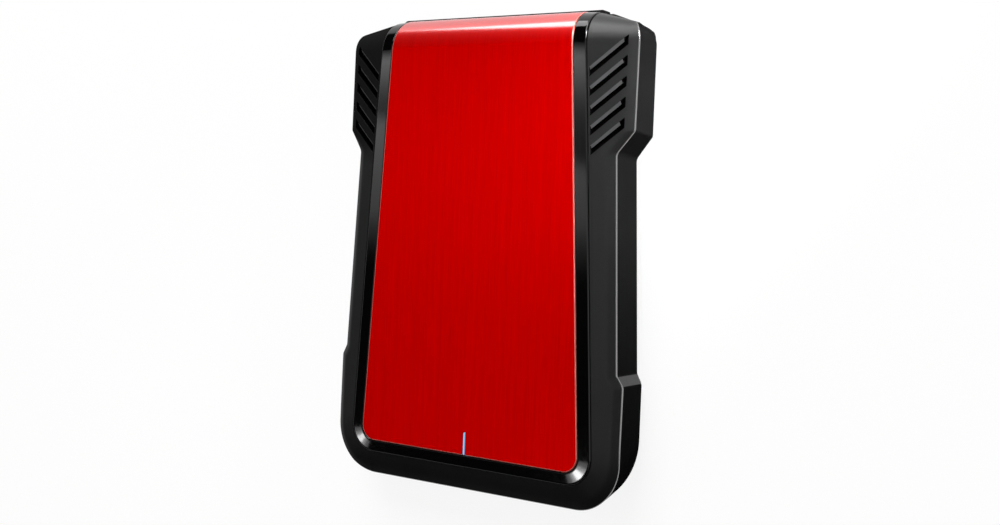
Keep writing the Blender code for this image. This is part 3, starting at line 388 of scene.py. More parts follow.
# slanted slot: a trough with an upright near wall, a floor and a far wall bevelled towards the face,
# opened to its full width at the outer end; rings stand at heights measured from the ear's slope
def slotCutters():
    s, c = slotForm, caseForm
    heights = np.array([-s["depth"], -s["bevelDepth"], -s["edge"], s["above"]])
    flare = np.array([0.0, 0.0, 0.0, s["above"] + s["edge"]])
    rise = np.maximum(heights + s["bevelDepth"], 0) / s["bevelDepth"]
    bevelled = s["floorWidth"] + (s["width"] - s["floorWidth"]) * rise
    upright = s["width"] + flare
    cutters = []

    def trough(side, start, inner, outer, far, levels, finishes):
        x = np.stack([inner - flare, outer + flare, outer + flare, inner - flare], axis=1)
        near = start + s["slant"] * (x - s["outer"])
        long = flare * np.hypot(1, s["slant"])
        d = near + np.stack([-long, -long, far, far], axis=1)
        lipX = bezelHalf(d) + c["seamGap"]
        span = c["earHalf"] - lipX
        slope = (c["slopeEar"] * span - c["shoulderSlope"] * c["shoulder"]) / (span - c["shoulder"])
        surface = caseHeight - c["seamDrop"] - slope * (x - lipX)
        points, faces = loftPatches(np.stack([side * x, d, surface + levels[:, None]], axis=-1))
        cutters.append((points, faces, np.array(finishes)))

    for side in (-1, 1):
        for k in range(s["count"]):
            start = s["first"] + s["pitch"] * k
            inner = bezelHalf(start - s["lead"]) + s["margin"]
            # the floor and lower walls take the near-black painted shade (2), the bevelled far wall the
            # lighter painted light (3)
            trough(side, start, inner, s["outer"], bevelled, heights, [2] * 6 + [3, 2, 0, 0, 3, 0, 2, 0])
            # the end stands a hair inside the trough, so that the two cuts share no wall; its floor and lower
            # walls carry the painted shade too
            trough(side, start + s["inside"], s["outer"] - s["endLength"], s["outer"] - s["shy"],
                   upright - s["inside"], heights + s["shy"], [2] * 8 + [0, 0, 0, 2, 2, 0])
    return cutters


bayForm = {"half": 36.0, "start": 7.0, "end": 120.2, "top": 10.7, "below": -1.7, "beyond": 4.0, "wall": 2.0,
           "railLow": 0.8, "railTop": 2.3, "railHalf": 37.3, "exitTop": 3.0, "exitStart": 116.4,
           "coreFloor": 3.4, "coreEnd": 113.3, "coreRound": 1.0,
           "windowHalf": 27.75, "windowNear": 16.0, "windowFar": 112.0, "windowTop": 14.0,
           "notchNear": 10.5, "notchFar": 15.5, "notchLow": 1.0, "notchHalf": 40.0}
portForm = {"middle": 20.0, "width": 12.4, "height": 2.9, "top": 7.9, "lobe": 7.4, "lobeGap": 1.0,
            "notch": 0.7, "clear": 0.3, "rings": ((-2.0, 1.4), (0.4, 0.3), (2.4, 0.3))}


# two-lobed port outline, grown on all sides; the rings pair a depth with a growth
def portOutline(grow):
    p = portForm
    left, right = p["middle"] - p["width"] / 2 - grow, p["middle"] + p["width"] / 2 + grow
    top, bottom = p["top"] + grow, p["top"] - p["height"] - grow
    lobe = p["middle"] - p["width"] / 2 + p["lobe"] + p["clear"]
    after = lobe + p["lobeGap"] - 2 * p["clear"]
    notch = p["notch"]
    return np.array([(left, top), (left, bottom + notch), (left + notch, bottom), (lobe - notch, bottom),
                     (lobe, bottom + notch), (after, bottom + notch), (after, bottom),
                     (right, bottom), (right, top)])


# bay, rails, cable port and lock notch, cut as plain prisms
def bayCutters():
    b, c = bayForm, caseForm
    beyond = caseLength + b["beyond"]
    half = [(0, b["wall"]), (c["bumpHalf"] - b["wall"], b["wall"]),
            (c["bumpHalf"] - b["wall"], c["bumpEnd"]), (c["waistNearHalf"] - b["wall"], c["waistStart"]),
            (c["waistFarHalf"] - b["wall"], c["earStart"]), (c["earHalf"] - b["wall"], c["earFull"]),
            (c["earHalf"] - b["wall"], b["coreEnd"]), (b["half"], b["coreEnd"])]
    right = roundPath(half, [c["cornerFoot"] - b["wall"]] + [b["coreRound"]] * 5, [1] * 6, [12] + [2] * 5)[1:]
    right = np.concatenate([right, [half[-1]]])
    core = np.concatenate([right, right[::-1] * flip[:2]])
    rings = []
    for d, grow in portForm["rings"]:
        outline = portOutline(grow)
        rings.append(np.column_stack([outline[:, 0], np.full(len(outline), d), outline[:, 1]]))
    return [boxPatch((-b["half"], b["start"], b["below"]), (b["half"], b["end"], b["top"])),
            prismPatches(core, b["coreFloor"], b["top"]),
            boxPatch((-b["windowHalf"], b["windowNear"], b["top"] - 1),
                     (b["windowHalf"], b["windowFar"], b["windowTop"])),
            boxPatch((-b["railHalf"], b["start"], b["railLow"]), (b["railHalf"], beyond, b["railTop"])),
            boxPatch((-b["half"], b["exitStart"], b["below"]), (b["half"], beyond, b["exitTop"])),
            boxPatch((b["half"], b["notchNear"], b["notchLow"]),
                     (b["notchHalf"], b["notchFar"], b["railTop"])),
            loftPatches(np.array(rings))]


# gloss bezel: a closed section carried along the bezel's path from one end of the bend to the other
def glossBezel():
    g = faceForm
    side = plainSide()
    outer = faceEdge(0, 0, g["corner"], side)
    gap = g["panelGap"]
    inner = faceEdge(g["rim"] - gap, g["rimNear"] - gap, g["panelCorner"] + gap, side)
    flange = faceEdge(g["rim"] + g["flange"], g["rimNear"] + g["flange"], 1.0, side)
    depth = caseHeight - g["deckFloor"]
    section = np.stack([onFace(*outer, depth), onFace(*outer, g["rimDrop"]), onFace(*inner, g["lipDrop"]),
                        onFace(*inner, g["deckDepth"]), onFace(*flange, g["deckDepth"]),
                        onFace(*flange, depth)], axis=1)
    arc = stepCounts["arc"] + 2
    right = filletRows(section, g["bezelReaches"], [arc] * 4)
    ring = splitRow(right, 1 + arc, stepCounts["rim"])
    path = np.concatenate([ring[::-1], ring[1:] * flip])
    points, quads = gridPatch(path, closed=True)
    count = path.shape[1]
    ends = [tuple(range(count)), tuple(len(points) - count + np.arange(count)[::-1])]
    return buildMesh("face_bezel", [(points, [tuple(q) for q in quads] + ends)], [glossBlack])


# brushed panel: plate with an eased edge that runs flat and then over the bend
def facePanel():
    g = faceForm
    side = plainSide()
    edge = faceEdge(g["rim"], g["rimNear"], g["panelCorner"], side)
    band = g["panelBand"]
    inner = faceEdge(g["rim"] + band, g["rimNear"] + band, g["panelCorner"] - band, side)
    section = np.stack([onFace(*edge, g["panelThick"]), onFace(*edge, 0.0), onFace(*inner, 0.0)], axis=1)
    rows = filletRows(section, [g["panelEase"]], [stepCounts["arc"] + 2])[stepCounts["near"]:]
    chain = np.concatenate([rows[:, 0], rows[-1, 1:], rows[::-1, -1][1:]])
    near = acrossMiddle(rows[0])
    # the eased edge takes finish 1, the copy with the painted highlight line
    patches = [(*gridPatch(rows[:, :-1]), 1), gridPatch(rows[:, -2:])]
    patches += [mirrored(patch) for patch in patches]
    patches += [(*gridPatch(near[:, :-1]), 1), gridPatch(near[:, -2:]), bridged(chain)]
    return buildMesh("face_panel", patches, [brushedRed, edgeRedPaintedHighlight])


slitForm = {"width": 0.8, "length": 6.0, "edge": 0.12, "floor": 14.6, "above": 0.3}


# slit: a straight slot open to the near edge, flared at the face
def slitCutter():
    s = slitForm
    near = faceForm["bezelNear"] + faceForm["rimNear"]
    rings = []
    for z, grow in ((s["floor"], 0.0), (caseHeight - s["edge"], 0.0),
                    (caseHeight + s["above"], s["above"] + s["edge"])):
        half, far = s["width"] / 2 + grow, near + s["length"] + grow
        rings.append([(-half, near - 1, z), (half, near - 1, z), (half, far, z), (-half, far, z)])
    return loftPatches(np.array(rings))


bladeForm = {"endClear": 0.1, "sideClear": 0.08, "round": 0.2, "foot": 12.8,
             "top": ((0.3, 0.0), (0.16, 0.05), (0.1, 0.16))}


# light blade: rounded bar that fills the slit; its top rings pair a drop below the face with an inset
def lightBlade():
    s, b = slitForm, bladeForm
    near = faceForm["bezelNear"] + faceForm["rimNear"] + b["endClear"]
    far = near + s["length"] - 2 * b["endClear"]
    half = s["width"] / 2 - b["sideClear"]
    rings = []
    for z, inset in ((b["foot"], 0.0), *((caseHeight - drop, inset) for drop, inset in b["top"])):
        outline = roundPath([(0, near + inset), (half - inset, near + inset), (half - inset, far - inset),
                             (0, far - inset)], [b["round"]] * 2, [1, 1], [4, 4])
        outline = np.concatenate([outline, [(0, far - inset)], outline[1:][::-1] * flip[:2]])
        rings.append(atHeight(outline, z))
    return buildMesh("light_blade", [loftPatches(np.array(rings))], [litBlade])


coverForm = {"near": 7.3, "half": 35.7, "tongueHalf": 37.0, "bottom": 0.3, "tongueLow": 1.1,
             "tongueStep": 0.02, "top": 2.0, "topEase": 0.12, "short": 0.6, "lead": 0.1,
             "ease": 0.3, "earX": 42.0, "earD": 120.3, "endHalf": 31.45, "cornerNear": 1.0, "cornerFar": 1.2,
             "grips": 6, "gripFirst": 100.0, "gripPitch": 2.2, "gripHalf": 13.0, "gripTaper": 0.9,
             "gripWidth": 1.1, "gripDepth": 0.55,
             "lockD": 13.0, "pocketHalf": 2.5, "pocketFloor": 1.0, "pocketLeft": 19.4,
             "slotLeft": 20.8, "slotRight": 28.4, "slotHalf": 1.7}


# outline of the sliding cover at one level: near edge, side, far corners cut back along the ears' ends
def coverOutline(half, lead, inset):
    v = coverForm
    cut = v["short"] - lead + inset
    side = v["earD"] + (caseLength - v["earD"]) * (v["earX"] - half) / (v["earX"] - v["endHalf"])
    right = half - inset
    corners = [(0, v["near"] - lead + inset), (right, v["near"] - lead + inset), (right, side - cut),
               (v["endHalf"] - inset, caseLength - cut), (0, caseLength - cut)]
    path = roundPath(corners, [v["cornerNear"], v["cornerFar"], v["cornerFar"]], [2, 6, 2], [6, 4, 4])[1:]
    return np.concatenate([path, path[::-1] * flip[:2]])


# sliding cover: levels lofted upwards with an eased lower edge and tongues; then half-round grip grooves,
# the bolt's pocket and the knob's slot are cut
def backCover():
    v = coverForm
    wide = (v["tongueHalf"], v["lead"])
    levels = [(v["half"], 0.0, v["ease"] * (1 - np.sin(turn)), v["bottom"] + v["ease"] * (1 - np.cos(turn)))
              for turn in np.linspace(0, np.pi / 2, 5)]
    levels += [(v["half"], 0.0, 0.0, v["tongueLow"]), (*wide, 0.0, v["tongueLow"] + v["tongueStep"]),
               (*wide, 0.0, v["top"] - v["topEase"]), (*wide, v["topEase"], v["top"])]
    rings = [atHeight(coverOutline(half, lead, inset), z) for half, lead, inset, z in levels]
    cover = buildMesh("slide_cover", [loftPatches(np.array(rings))], [coverBlack])
    cutters = []
    reach, across = v["gripWidth"] / 2, np.linspace(0, np.pi, 9)
    for k in range(v["grips"]):
        d = v["gripFirst"] + v["gripPitch"] * k
        half = v["gripHalf"] - v["gripTaper"] * abs(k - (v["grips"] - 1) / 2)
        bow = np.column_stack([d + np.cos(across) * reach, v["bottom"] + np.sin(across) * v["gripDepth"]])
        bow = np.concatenate([[[d + reach, 0.0]], bow, [[d - reach, 0.0]]])
        ends = [np.column_stack([np.full(len(bow), x), bow]) for x in (-half, half)]
        cutters.append(loftPatches(np.array(ends)))
    cutters.append(boxPatch((v["pocketLeft"], v["lockD"] - v["pocketHalf"], v["pocketFloor"]),
                            (v["tongueHalf"] + 1, v["lockD"] + v["pocketHalf"], v["top"] + 1)))
    cutters.append(boxPatch((v["slotLeft"], v["lockD"] - v["slotHalf"], -1),
                            (v["slotRight"], v["lockD"] + v["slotHalf"], v["top"])))
    cutAway(cover, cutters)
    addWeighted(cover)
    return cover


def addNode(tree, kind, inputs=None, **settings):
    node = tree.nodes.new(kind)
    for name, value in settings.items():
        setattr(node, name, value)
    for name, value in (inputs or {}).items():
        if isinstance(value, bpy.types.NodeSocket):
            tree.links.new(value, node.inputs[name])
        else:
            node.inputs[name].default_value = value
    return node


def objectCoords(tree):
    return addNode(tree, "ShaderNodeTexCoord").outputs["Object"]


def objectPlace(tree):
    return addNode(tree, "ShaderNodeSeparateXYZ", {0: objectCoords(tree)}).outputs


def mathNode(tree, operation, first, second=0.0, clamp=False):
    inputs = {0: first, 1: second}
    return addNode(tree, "ShaderNodeMath", inputs, operation=operation, use_clamp=clamp).outputs[0]


def vectorMath(tree, operation, inputs):
    return addNode(tree, "ShaderNodeVectorMath", inputs, operation=operation).outputs[0]


def mapRange(tree, value, fromLow, fromHigh, toLow=0.0, toHigh=1.0):
    inputs = {"Value": value, "From Min": fromLow, "From Max": fromHigh, "To Min": toLow, "To Max": toHigh}
    return addNode(tree, "ShaderNodeMapRange", inputs).outputs["Result"]


def mixColour(tree, share, first, second):
    node = addNode(tree, "ShaderNodeMix", data_type="RGBA")
    for index, value in ((0, share), (6, first), (7, second)):
        if isinstance(value, bpy.types.NodeSocket):
            tree.links.new(value, node.inputs[index])
        else:
            node.inputs[index].default_value = value
    return node.outputs[2]


def noiseNode(tree, vector, scale, detail=2.0, roughness=0.5):
    inputs = {"Vector": vector, "Scale": scale, "Detail": detail, "Roughness": roughness}
    return addNode(tree, "ShaderNodeTexNoise", inputs)


def newGroup(name, inputs, outputs):
    tree = bpy.data.node_groups.new(name, "ShaderNodeTree")
    for label, kind, value in inputs:
        socket = tree.interface.new_socket(label, in_out="INPUT", socket_type="NodeSocket" + kind)
        if value is not None:
            socket.default_value = value
    for label in outputs:
        tree.interface.new_socket(label, in_out="OUTPUT", socket_type="NodeSocketFloat")
    return tree, tree.nodes.new("NodeGroupInput").outputs, tree.nodes.new("NodeGroupOutput").inputs


def useGroup(tree, group, **inputs):
    return addNode(tree, "ShaderNodeGroup", inputs, node_tree=group).outputs


# moulded grain: fine spark-eroded pits over a slow drift of tone and gloss
def mouldGrainGroup():
    tree, given, made = newGroup("mouldGrain", [("Vector", "Vector", None), ("Size", "Float", 0.00025)],
                                 ["Height", "Tone", "Gloss"])
    scale = mathNode(tree, "DIVIDE", 1.0, given["Size"])
    inputs = {"Vector": given["Vector"], "Scale": scale}
    pits = addNode(tree, "ShaderNodeTexVoronoi", inputs, feature="SMOOTH_F1").outputs["Distance"]
    grain = noiseNode(tree, given["Vector"], mathNode(tree, "MULTIPLY", scale, 0.6), 3.0, 0.6).outputs["Fac"]
    drift = noiseNode(tree, given["Vector"], 38.0, 3.0, 0.55).outputs["Fac"]
    tree.links.new(mathNode(tree, "ADD", mathNode(tree, "MULTIPLY", pits, 0.6), grain), made["Height"])
    tree.links.new(mapRange(tree, drift, 0.3, 0.7), made["Tone"])
    tree.links.new(mapRange(tree, grain, 0.3, 0.7), made["Gloss"])
    return tree


# brushed streaks: noise drawn out along one axis, a fine layer over a coarse one
def brushStreakGroup():
    tree, given, made = newGroup("brushStreaks", [("Vector", "Vector", None), ("Fine", "Float", 5200.0),
                                                  ("Stretch", "Float", 0.012)], ["Streak", "Band", "Height"])
    stretch = {"X": 1.0, "Y": given["Stretch"], "Z": given["Stretch"]}
    axis = addNode(tree, "ShaderNodeCombineXYZ", stretch).outputs[0]
    drawn = vectorMath(tree, "MULTIPLY", {0: given["Vector"], 1: axis})
    fine = noiseNode(tree, drawn, given["Fine"], 4.0, 0.65).outputs["Fac"]
    coarse = noiseNode(tree, drawn, mathNode(tree, "MULTIPLY", given["Fine"], 0.16), 3.0, 0.6).outputs["Fac"]
    tree.links.new(mapRange(tree, fine, 0.25, 0.75), made["Streak"])
    tree.links.new(mapRange(tree, coarse, 0.3, 0.7), made["Band"])
    tree.links.new(fine, made["Height"])
    return tree


mouldGrain = mouldGrainGroup()
brushStreaks = brushStreakGroup()


socketNames = {"colour": "Base Color", "roughness": "Roughness", "metallic": "Metallic", "alpha": "Alpha",
               "normal": "Normal", "specular": "Specular IOR Level", "edgeTint": "Specular Tint",
               "coat": "Coat Weight", "coatRoughness": "Coat Roughness", "coatIor": "Coat IOR",
               "emission": "Emission Color", "strength": "Emission Strength"}


def newMaterial(name, **values):
    material = bpy.data.materials.new(name)
    material.use_nodes = True
    shader = material.node_tree.nodes["Principled BSDF"]
    for socket, value in values.items():
        shader.inputs[socketNames[socket]].default_value = value
    return material, material.node_tree


def feed(tree, **sources):
    shader = tree.nodes["Principled BSDF"]
    for socket, source in sources.items():
        tree.links.new(source, shader.inputs[socketNames[socket]])


def dress(obj, material):
    for slot in obj.material_slots:
        slot.material = material
    if not obj.material_slots:
        obj.data.materials.append(material)


def addBump(tree, height, distance, strength=1.0):
    bump = addNode(tree, "ShaderNodeBump", {"Height": height, "Distance": distance, "Strength": strength})
    feed(tree, normal=bump.outputs["Normal"])


def grey(level):
    return (level, level, level * 1.02, 1)


# grained skin: tone drifting between two colours, roughness and bump from the moulded grain
def grainedSkin(name, dark, light, roughness, swing, size, depth, values):
    material, tree = newMaterial(name, **values)
    grain = useGroup(tree, mouldGrain, Vector=objectCoords(tree), Size=size)
    feed(tree, colour=mixColour(tree, grain["Tone"], dark, light),
         roughness=mapRange(tree, grain["Gloss"], 0, 1, roughness - swing, roughness + swing))
    addBump(tree, grain["Height"], depth)
    return material


# moulded plastic: grained skin between two levels of grey
def mouldedPlastic(name, dark, light, roughness, size, depth, **values):
    return grainedSkin(name, grey(dark), grey(light), roughness, 0.06, size, depth, values)


# brushed metal: streaks shift the tone and the roughness and lift a faint bump along the brushing
def brushedMetal(name, dark, light, roughness, metallic, fine, depth, specular=0.5, **values):
    material, tree = newMaterial(name, metallic=metallic, specular=specular, **values)
    brush = useGroup(tree, brushStreaks, Vector=objectCoords(tree), Fine=fine)
    tone = mathNode(tree, "ADD", mathNode(tree, "MULTIPLY", brush["Streak"], 0.78),
                    mathNode(tree, "MULTIPLY", brush["Band"], 0.22))
    feed(tree, colour=mixColour(tree, tone, dark, light),
         roughness=mapRange(tree, brush["Streak"], 0, 1, roughness - 0.07, roughness + 0.07))
    addBump(tree, brush["Height"], depth)
    return material


# coat masked to the panel's bend, rising along y: a painted highlight that whitens the bend
def paintedBendHighlight(material):
    tree = material.node_tree
    start = (bendStart - caseLength / 2) * mm
    feed(tree, coat=mapRange(tree, objectPlace(tree)["Y"], start + 0.0005, start + 0.004))


# polished plastic: a slow waviness in the surface and a trace of uneven polish
def polishedPlastic(name, colour, roughness):
    material, tree = newMaterial(name, colour=colour)
    coords = objectCoords(tree)
    wave = noiseNode(tree, coords, 90.0, 2.0).outputs["Fac"]
    polish = noiseNode(tree, coords, 900.0, 4.0, 0.6).outputs["Fac"]
    tone = mapRange(tree, polish, 0.35, 0.7)
    feed(tree, colour=mixColour(tree, tone, colour, tuple(v * 1.6 for v in colour[:3]) + (1,)),
         roughness=mapRange(tree, tone, 0, 1, roughness, roughness + 0.03))
    addBump(tree, wave, 0.00001, 0.6)
    return material


paintedSheenForm = {"weight": 0.45, "middle": 0.01, "nearShare": 0.25, "nearStart": -0.058, "nearEnd": -0.046,
             "earStart": 0.022, "earEnd": 0.03, "earDrop": 0.42,
             "tipStart": 0.0535, "tipEnd": 0.059, "tipLift": 0.7}


# front: a painted sheen, a coat masked by place over the moulded plastic, fading at the near end and on one
# ear, rising on the other ear's end
def paintedSheenFront(material):
    s = paintedSheenForm
    tree = material.node_tree
    place = objectPlace(tree)
    right = mapRange(tree, place["X"], -s["middle"], s["middle"])
    near = mapRange(tree, place["Y"], s["nearStart"], s["nearEnd"], s["weight"] * s["nearShare"], s["weight"])
    ear = mapRange(tree, place["Y"], s["earStart"], s["earEnd"], 0.0, s["earDrop"])
    tip = mapRange(tree, place["Y"], s["tipStart"], s["tipEnd"], 0.0, s["tipLift"])
    drop = mathNode(tree, "MULTIPLY", ear, mathNode(tree, "SUBTRACT", 1.0, right))
    lifted = mathNode(tree, "ADD", near, mathNode(tree, "MULTIPLY", tip, right))
    feed(tree, coat=mathNode(tree, "SUBTRACT", lifted, drop, clamp=True))


caseGrain = {"size": 0.00022, "depth": 0.000012}
matteBlack = mouldedPlastic("matteBlack", 0.008, 0.0115, roughness=0.45, specular=0.0, **caseGrain)
# front slopes: a darker copy of the case plastic, carrying the painted sheen of the masked coat
frontBlackPaintedSheen = mouldedPlastic("frontBlackPaintedSheen", 0.006, 0.009, roughness=0.45, specular=0.0, coatRoughness=0.42,
                            **caseGrain)
paintedSheenFront(frontBlackPaintedSheen)
stepBlack = mouldedPlastic("stepBlack", 0.008, 0.0115, roughness=0.4, specular=0.5, **caseGrain)
# edge fillets: a glossy coat that catches the lamps, on a base lighter than matteBlack; the lighter base is a
# painted highlight
edgeBlackPaintedHighlight = mouldedPlastic("edgeBlackPaintedHighlight", 0.012, 0.017, roughness=0.3, size=0.0004, depth=0.000002,
                           specular=0.3, coat=1.0, coatRoughness=0.14, coatIor=2.7)
# bevelled far wall of the slots: a lighter grey than the case, painted light standing for the lit wall
ventPaintedLightSlope = mouldedPlastic("ventPaintedLightSlope", 0.06, 0.085, roughness=0.5, specular=0.05, **caseGrain)
# slot floors and lower walls: near-black, a painted shade standing for the dark depth of the slots
ventPaintedShade = mouldedPlastic("ventPaintedShade", 0.0006, 0.0011, roughness=0.7, size=0.0004, depth=0.00002,
                           specular=0.0)
glossBlack = polishedPlastic("glossBlack", grey(0.0005), roughness=0.05)
brushedRed = brushedMetal("brushedRed", (0.5, 0.0, 0.0, 1), (0.72, 0.0, 0.0, 1), roughness=0.34, metallic=0.5,
                          fine=5600.0, depth=0.000008, specular=0.0, coatRoughness=0.16, coatIor=2.7,
                          edgeTint=(0.45, 0.02, 0.02, 1))
# painted highlight over the bend
paintedBendHighlight(brushedRed)
# eased panel edge: a lighter, pinker red than the panel, a painted highlight line along the edge
edgeRedPaintedHighlight = brushedMetal("edgeRedPaintedHighlight", (0.6, 0.1, 0.08, 1), (0.8, 0.26, 0.22, 1), roughness=0.3, metallic=0.6,
                       fine=3000.0, depth=0.000002)
glowForm = {"core": (0.5, 0.8, 0.95, 1), "edge": (0.04, 0.24, 0.52, 1), "start": -0.00004, "end": 0.00024}


# lit blade: pale core fading to blue at its edges, by distance from the middle plane
def glowingBlade():
    g = glowForm
    material, tree = newMaterial("litBlade", colour=(0.03, 0.09, 0.18, 1), roughness=0.35, strength=1.0)
    share = mapRange(tree, mathNode(tree, "ABSOLUTE", objectPlace(tree)["X"]), g["start"], g["end"])
    feed(tree, emission=mixColour(tree, share, g["core"], g["edge"]))
    return material


litBlade = glowingBlade()
coverBlack = mouldedPlastic("coverBlack", 0.011, 0.016, roughness=0.5, size=0.0003, depth=0.00002,
                            specular=0.15)
shell = caseShell()
cutAway(shell, bayCutters() + slotCutters())
addWeighted(shell)
bezel = glossBezel()
addWeighted(bezel)
panel = facePanel()
cutAway(panel, [slitCutter()])
addWeighted(panel)
blade = lightBlade()
for piece, node, slot in ((shell, "upper_shell", "matte_black"), (bezel, "gloss_bezel", "gloss_black"),
                          (panel, "front_panel", "red_anodised"), (blade, "light_pipe", "clear_acrylic")):
    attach(piece, "case")
    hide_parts(node)
cover = backCover()
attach(cover, "cover")
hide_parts("back_cover")
made = (shell, bezel, panel, blade, cover)
print("case:", {piece.name: len(piece.data.polygons) for piece in made}, "faces")


# blasted alloy: a fine random grain over slow clouding
def blastedAlloy(name, dark, light, roughness, size, depth):
    return grainedSkin(name, dark, light, roughness, 0.1, size, depth, {"metallic": 1.0})


boardForm = {"mask": (0.006, 0.06, 0.022, 1), "track": (0.014, 0.12, 0.045, 1), "via": (0.62, 0.44, 0.16, 1),
             "pitch": 0.0016, "width": 0.16, "jogStep": (0.25, 0.25, 0.25), "jogReach": 0.004,
             "viaPitch": 0.0034, "viaRadius": 0.11, "viaScatter": 0.7}


# circuit board: lines on a jogged square lattice for the tracks, dots on a loose lattice for the vias
def circuitBoard(name):
    b = boardForm
    material, tree = newMaterial(name, coatRoughness=0.2, coat=0.4)
    coords = objectCoords(tree)
    jog = noiseNode(tree, coords, 160.0, 1.0)
    snapped = vectorMath(tree, "SNAP", {0: jog.outputs["Color"], 1: b["jogStep"]})
    shift = vectorMath(tree, "SCALE", {0: snapped, "Scale": b["jogReach"]})
    moved = vectorMath(tree, "ADD", {0: coords, 1: shift})
    place = addNode(tree, "ShaderNodeSeparateXYZ", {0: moved}).outputs
    saw = mathNode(tree, "PINGPONG", place["X"], b["pitch"] / 2)
    across = mathNode(tree, "PINGPONG", place["Y"], b["pitch"] * 1.5)
    line = mathNode(tree, "LESS_THAN", mathNode(tree, "MINIMUM", saw, across), b["pitch"] * b["width"])
    lattice = {"Vector": coords, "Scale": 1 / b["viaPitch"], "Randomness": b["viaScatter"]}
    dots = addNode(tree, "ShaderNodeTexVoronoi", lattice, voronoi_dimensions="2D").outputs["Distance"]
    via = mathNode(tree, "LESS_THAN", dots, b["viaRadius"])
    tone = mixColour(tree, line, b["mask"], b["track"])
    feed(tree, colour=mixColour(tree, via, tone, b["via"]), metallic=via,
         roughness=mapRange(tree, jog.outputs["Fac"], 0.3, 0.7, 0.3, 0.45))
    addBump(tree, mathNode(tree, "ADD", line, via), 0.00003, 0.7)
    return material


capForm = {"dark": (0.3, 0.19, 0.1, 1), "light": (0.46, 0.32, 0.18, 1), "tin": (0.72, 0.72, 0.7, 1),
           "share": 0.27}


# chip capacitor: tan body between two tinned caps, by distance from the node's own middle along its length
def tinnedCeramic(node):
    low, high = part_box(node)
    sizes = np.array(high) - np.array(low)
    axis = int(np.argmax(sizes))
    middle = (low[axis] + high[axis]) / 2
    material, tree = newMaterial("tanCeramic_" + node.rsplit("_", 1)[1])
    away = mathNode(tree, "ABSOLUTE", mathNode(tree, "SUBTRACT", objectPlace(tree)[axis], float(middle)))
    cap = mathNode(tree, "GREATER_THAN", away, float(sizes[axis]) * capForm["share"])
    speck = noiseNode(tree, objectCoords(tree), 5200.0, 3.0, 0.6).outputs["Fac"]
    body = mixColour(tree, speck, capForm["dark"], capForm["light"])
    feed(tree, colour=mixColour(tree, cap, body, capForm["tin"]), metallic=cap,
         roughness=mapRange(tree, speck, 0.3, 0.7, 0.28, 0.5))
    addBump(tree, speck, 0.000008)
    return material


# status lamp: blue lens with a brighter cloud at its heart
def lampLens(name):
    material, tree = newMaterial(name, strength=1.0, roughness=0.2)
    cloud = noiseNode(tree, objectCoords(tree), 900.0, 2.0).outputs["Fac"]
    feed(tree, colour=mixColour(tree, cloud, (0.02, 0.1, 0.5, 1), (0.1, 0.3, 0.8, 1)),
         emission=mixColour(tree, cloud, (0.03, 0.2, 0.7, 1), (0.2, 0.5, 1.0, 1)))
    return material


# clear tape: thin film whose edge-to-edge haze drifts
def clearFilm(name):
    material, tree = newMaterial(name, colour=(0.8, 0.8, 0.78, 1))
    haze = noiseNode(tree, objectCoords(tree), 260.0, 4.0, 0.6).outputs["Fac"]
    feed(tree, alpha=mapRange(tree, haze, 0.3, 0.7, 0.25, 0.5),
         roughness=mapRange(tree, haze, 0.3, 0.7, 0.1, 0.3))
    addBump(tree, haze, 0.00004)
    return material


def numbered(stem, count):
    return tuple(stem + "_" + str(number) for number in range(1, count + 1))


nodeFinishes = (
    (brushedMetal("brightSteel", (0.5, 0.5, 0.51, 1), (0.72, 0.72, 0.72, 1), roughness=0.24, metallic=1.0,
                  fine=2600.0, depth=0.000004),
     numbered("bezel_screw", 4) + numbered("board_screw", 2) + ("crystal", "usb_socket")),
    (blastedAlloy("greyAlloy", (0.3, 0.31, 0.32, 1), (0.42, 0.43, 0.44, 1), roughness=0.45, size=0.0003,
                  depth=0.00001), ("drive_base", "drive_lid")),
    (circuitBoard("boardGreen"), ("bridge_board", "drive_board")),
    (mouldedPlastic("chipBlack", 0.012, 0.022, roughness=0.55, size=0.00012, depth=0.000006, specular=0.35),
     ("bridge_chip", "drive_controller", "drive_memory") + numbered("flash_chip", 4)),
    (brushedMetal("goldPlate", (0.62, 0.4, 0.12, 1), (0.85, 0.6, 0.22, 1), roughness=0.22, metallic=1.0,
                  fine=3800.0, depth=0.000003), ("sata_pins",)),
    (mouldedPlastic("socketBlack", 0.014, 0.022, roughness=0.42, size=0.0003, depth=0.00001, specular=0.3),
     ("usb_tongue", "sata_receptacle", "drive_plug")),
    (mouldedPlastic("blackFoam", 0.012, 0.03, roughness=0.92, size=0.0007, depth=0.00012, specular=0.05),
     ("drive_pad_left", "drive_pad_right")),
    (mouldedPlastic("greySilicone", 0.26, 0.34, roughness=0.62, size=0.0005, depth=0.00003, specular=0.3),
     ("thermal_pad",)),
    (mouldedPlastic("lockGrey", 0.07, 0.1, roughness=0.45, size=0.0003, depth=0.00001, specular=0.35),
     ("lock_slider",)),
    (brushedMetal("keeperSteel", (0.42, 0.42, 0.43, 1), (0.6, 0.6, 0.6, 1), roughness=0.3, metallic=1.0,
                  fine=3400.0, depth=0.000004), ("lock_keeper",)),
    (lampLens("lampBlue"), ("status_led",)),
    (clearFilm("clearTape"), ("panel_tape",)),
)
dressed = 0
for finish, nodes in nodeFinishes:
    for node in nodes:
        dress(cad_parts[node], finish)
        dressed += 1
for capacitor in numbered("capacitor", 4):
    dress(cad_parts[capacitor], tinnedCeramic(capacitor))
    dressed += 1
print("finishes:", dressed, "nodes dressed")


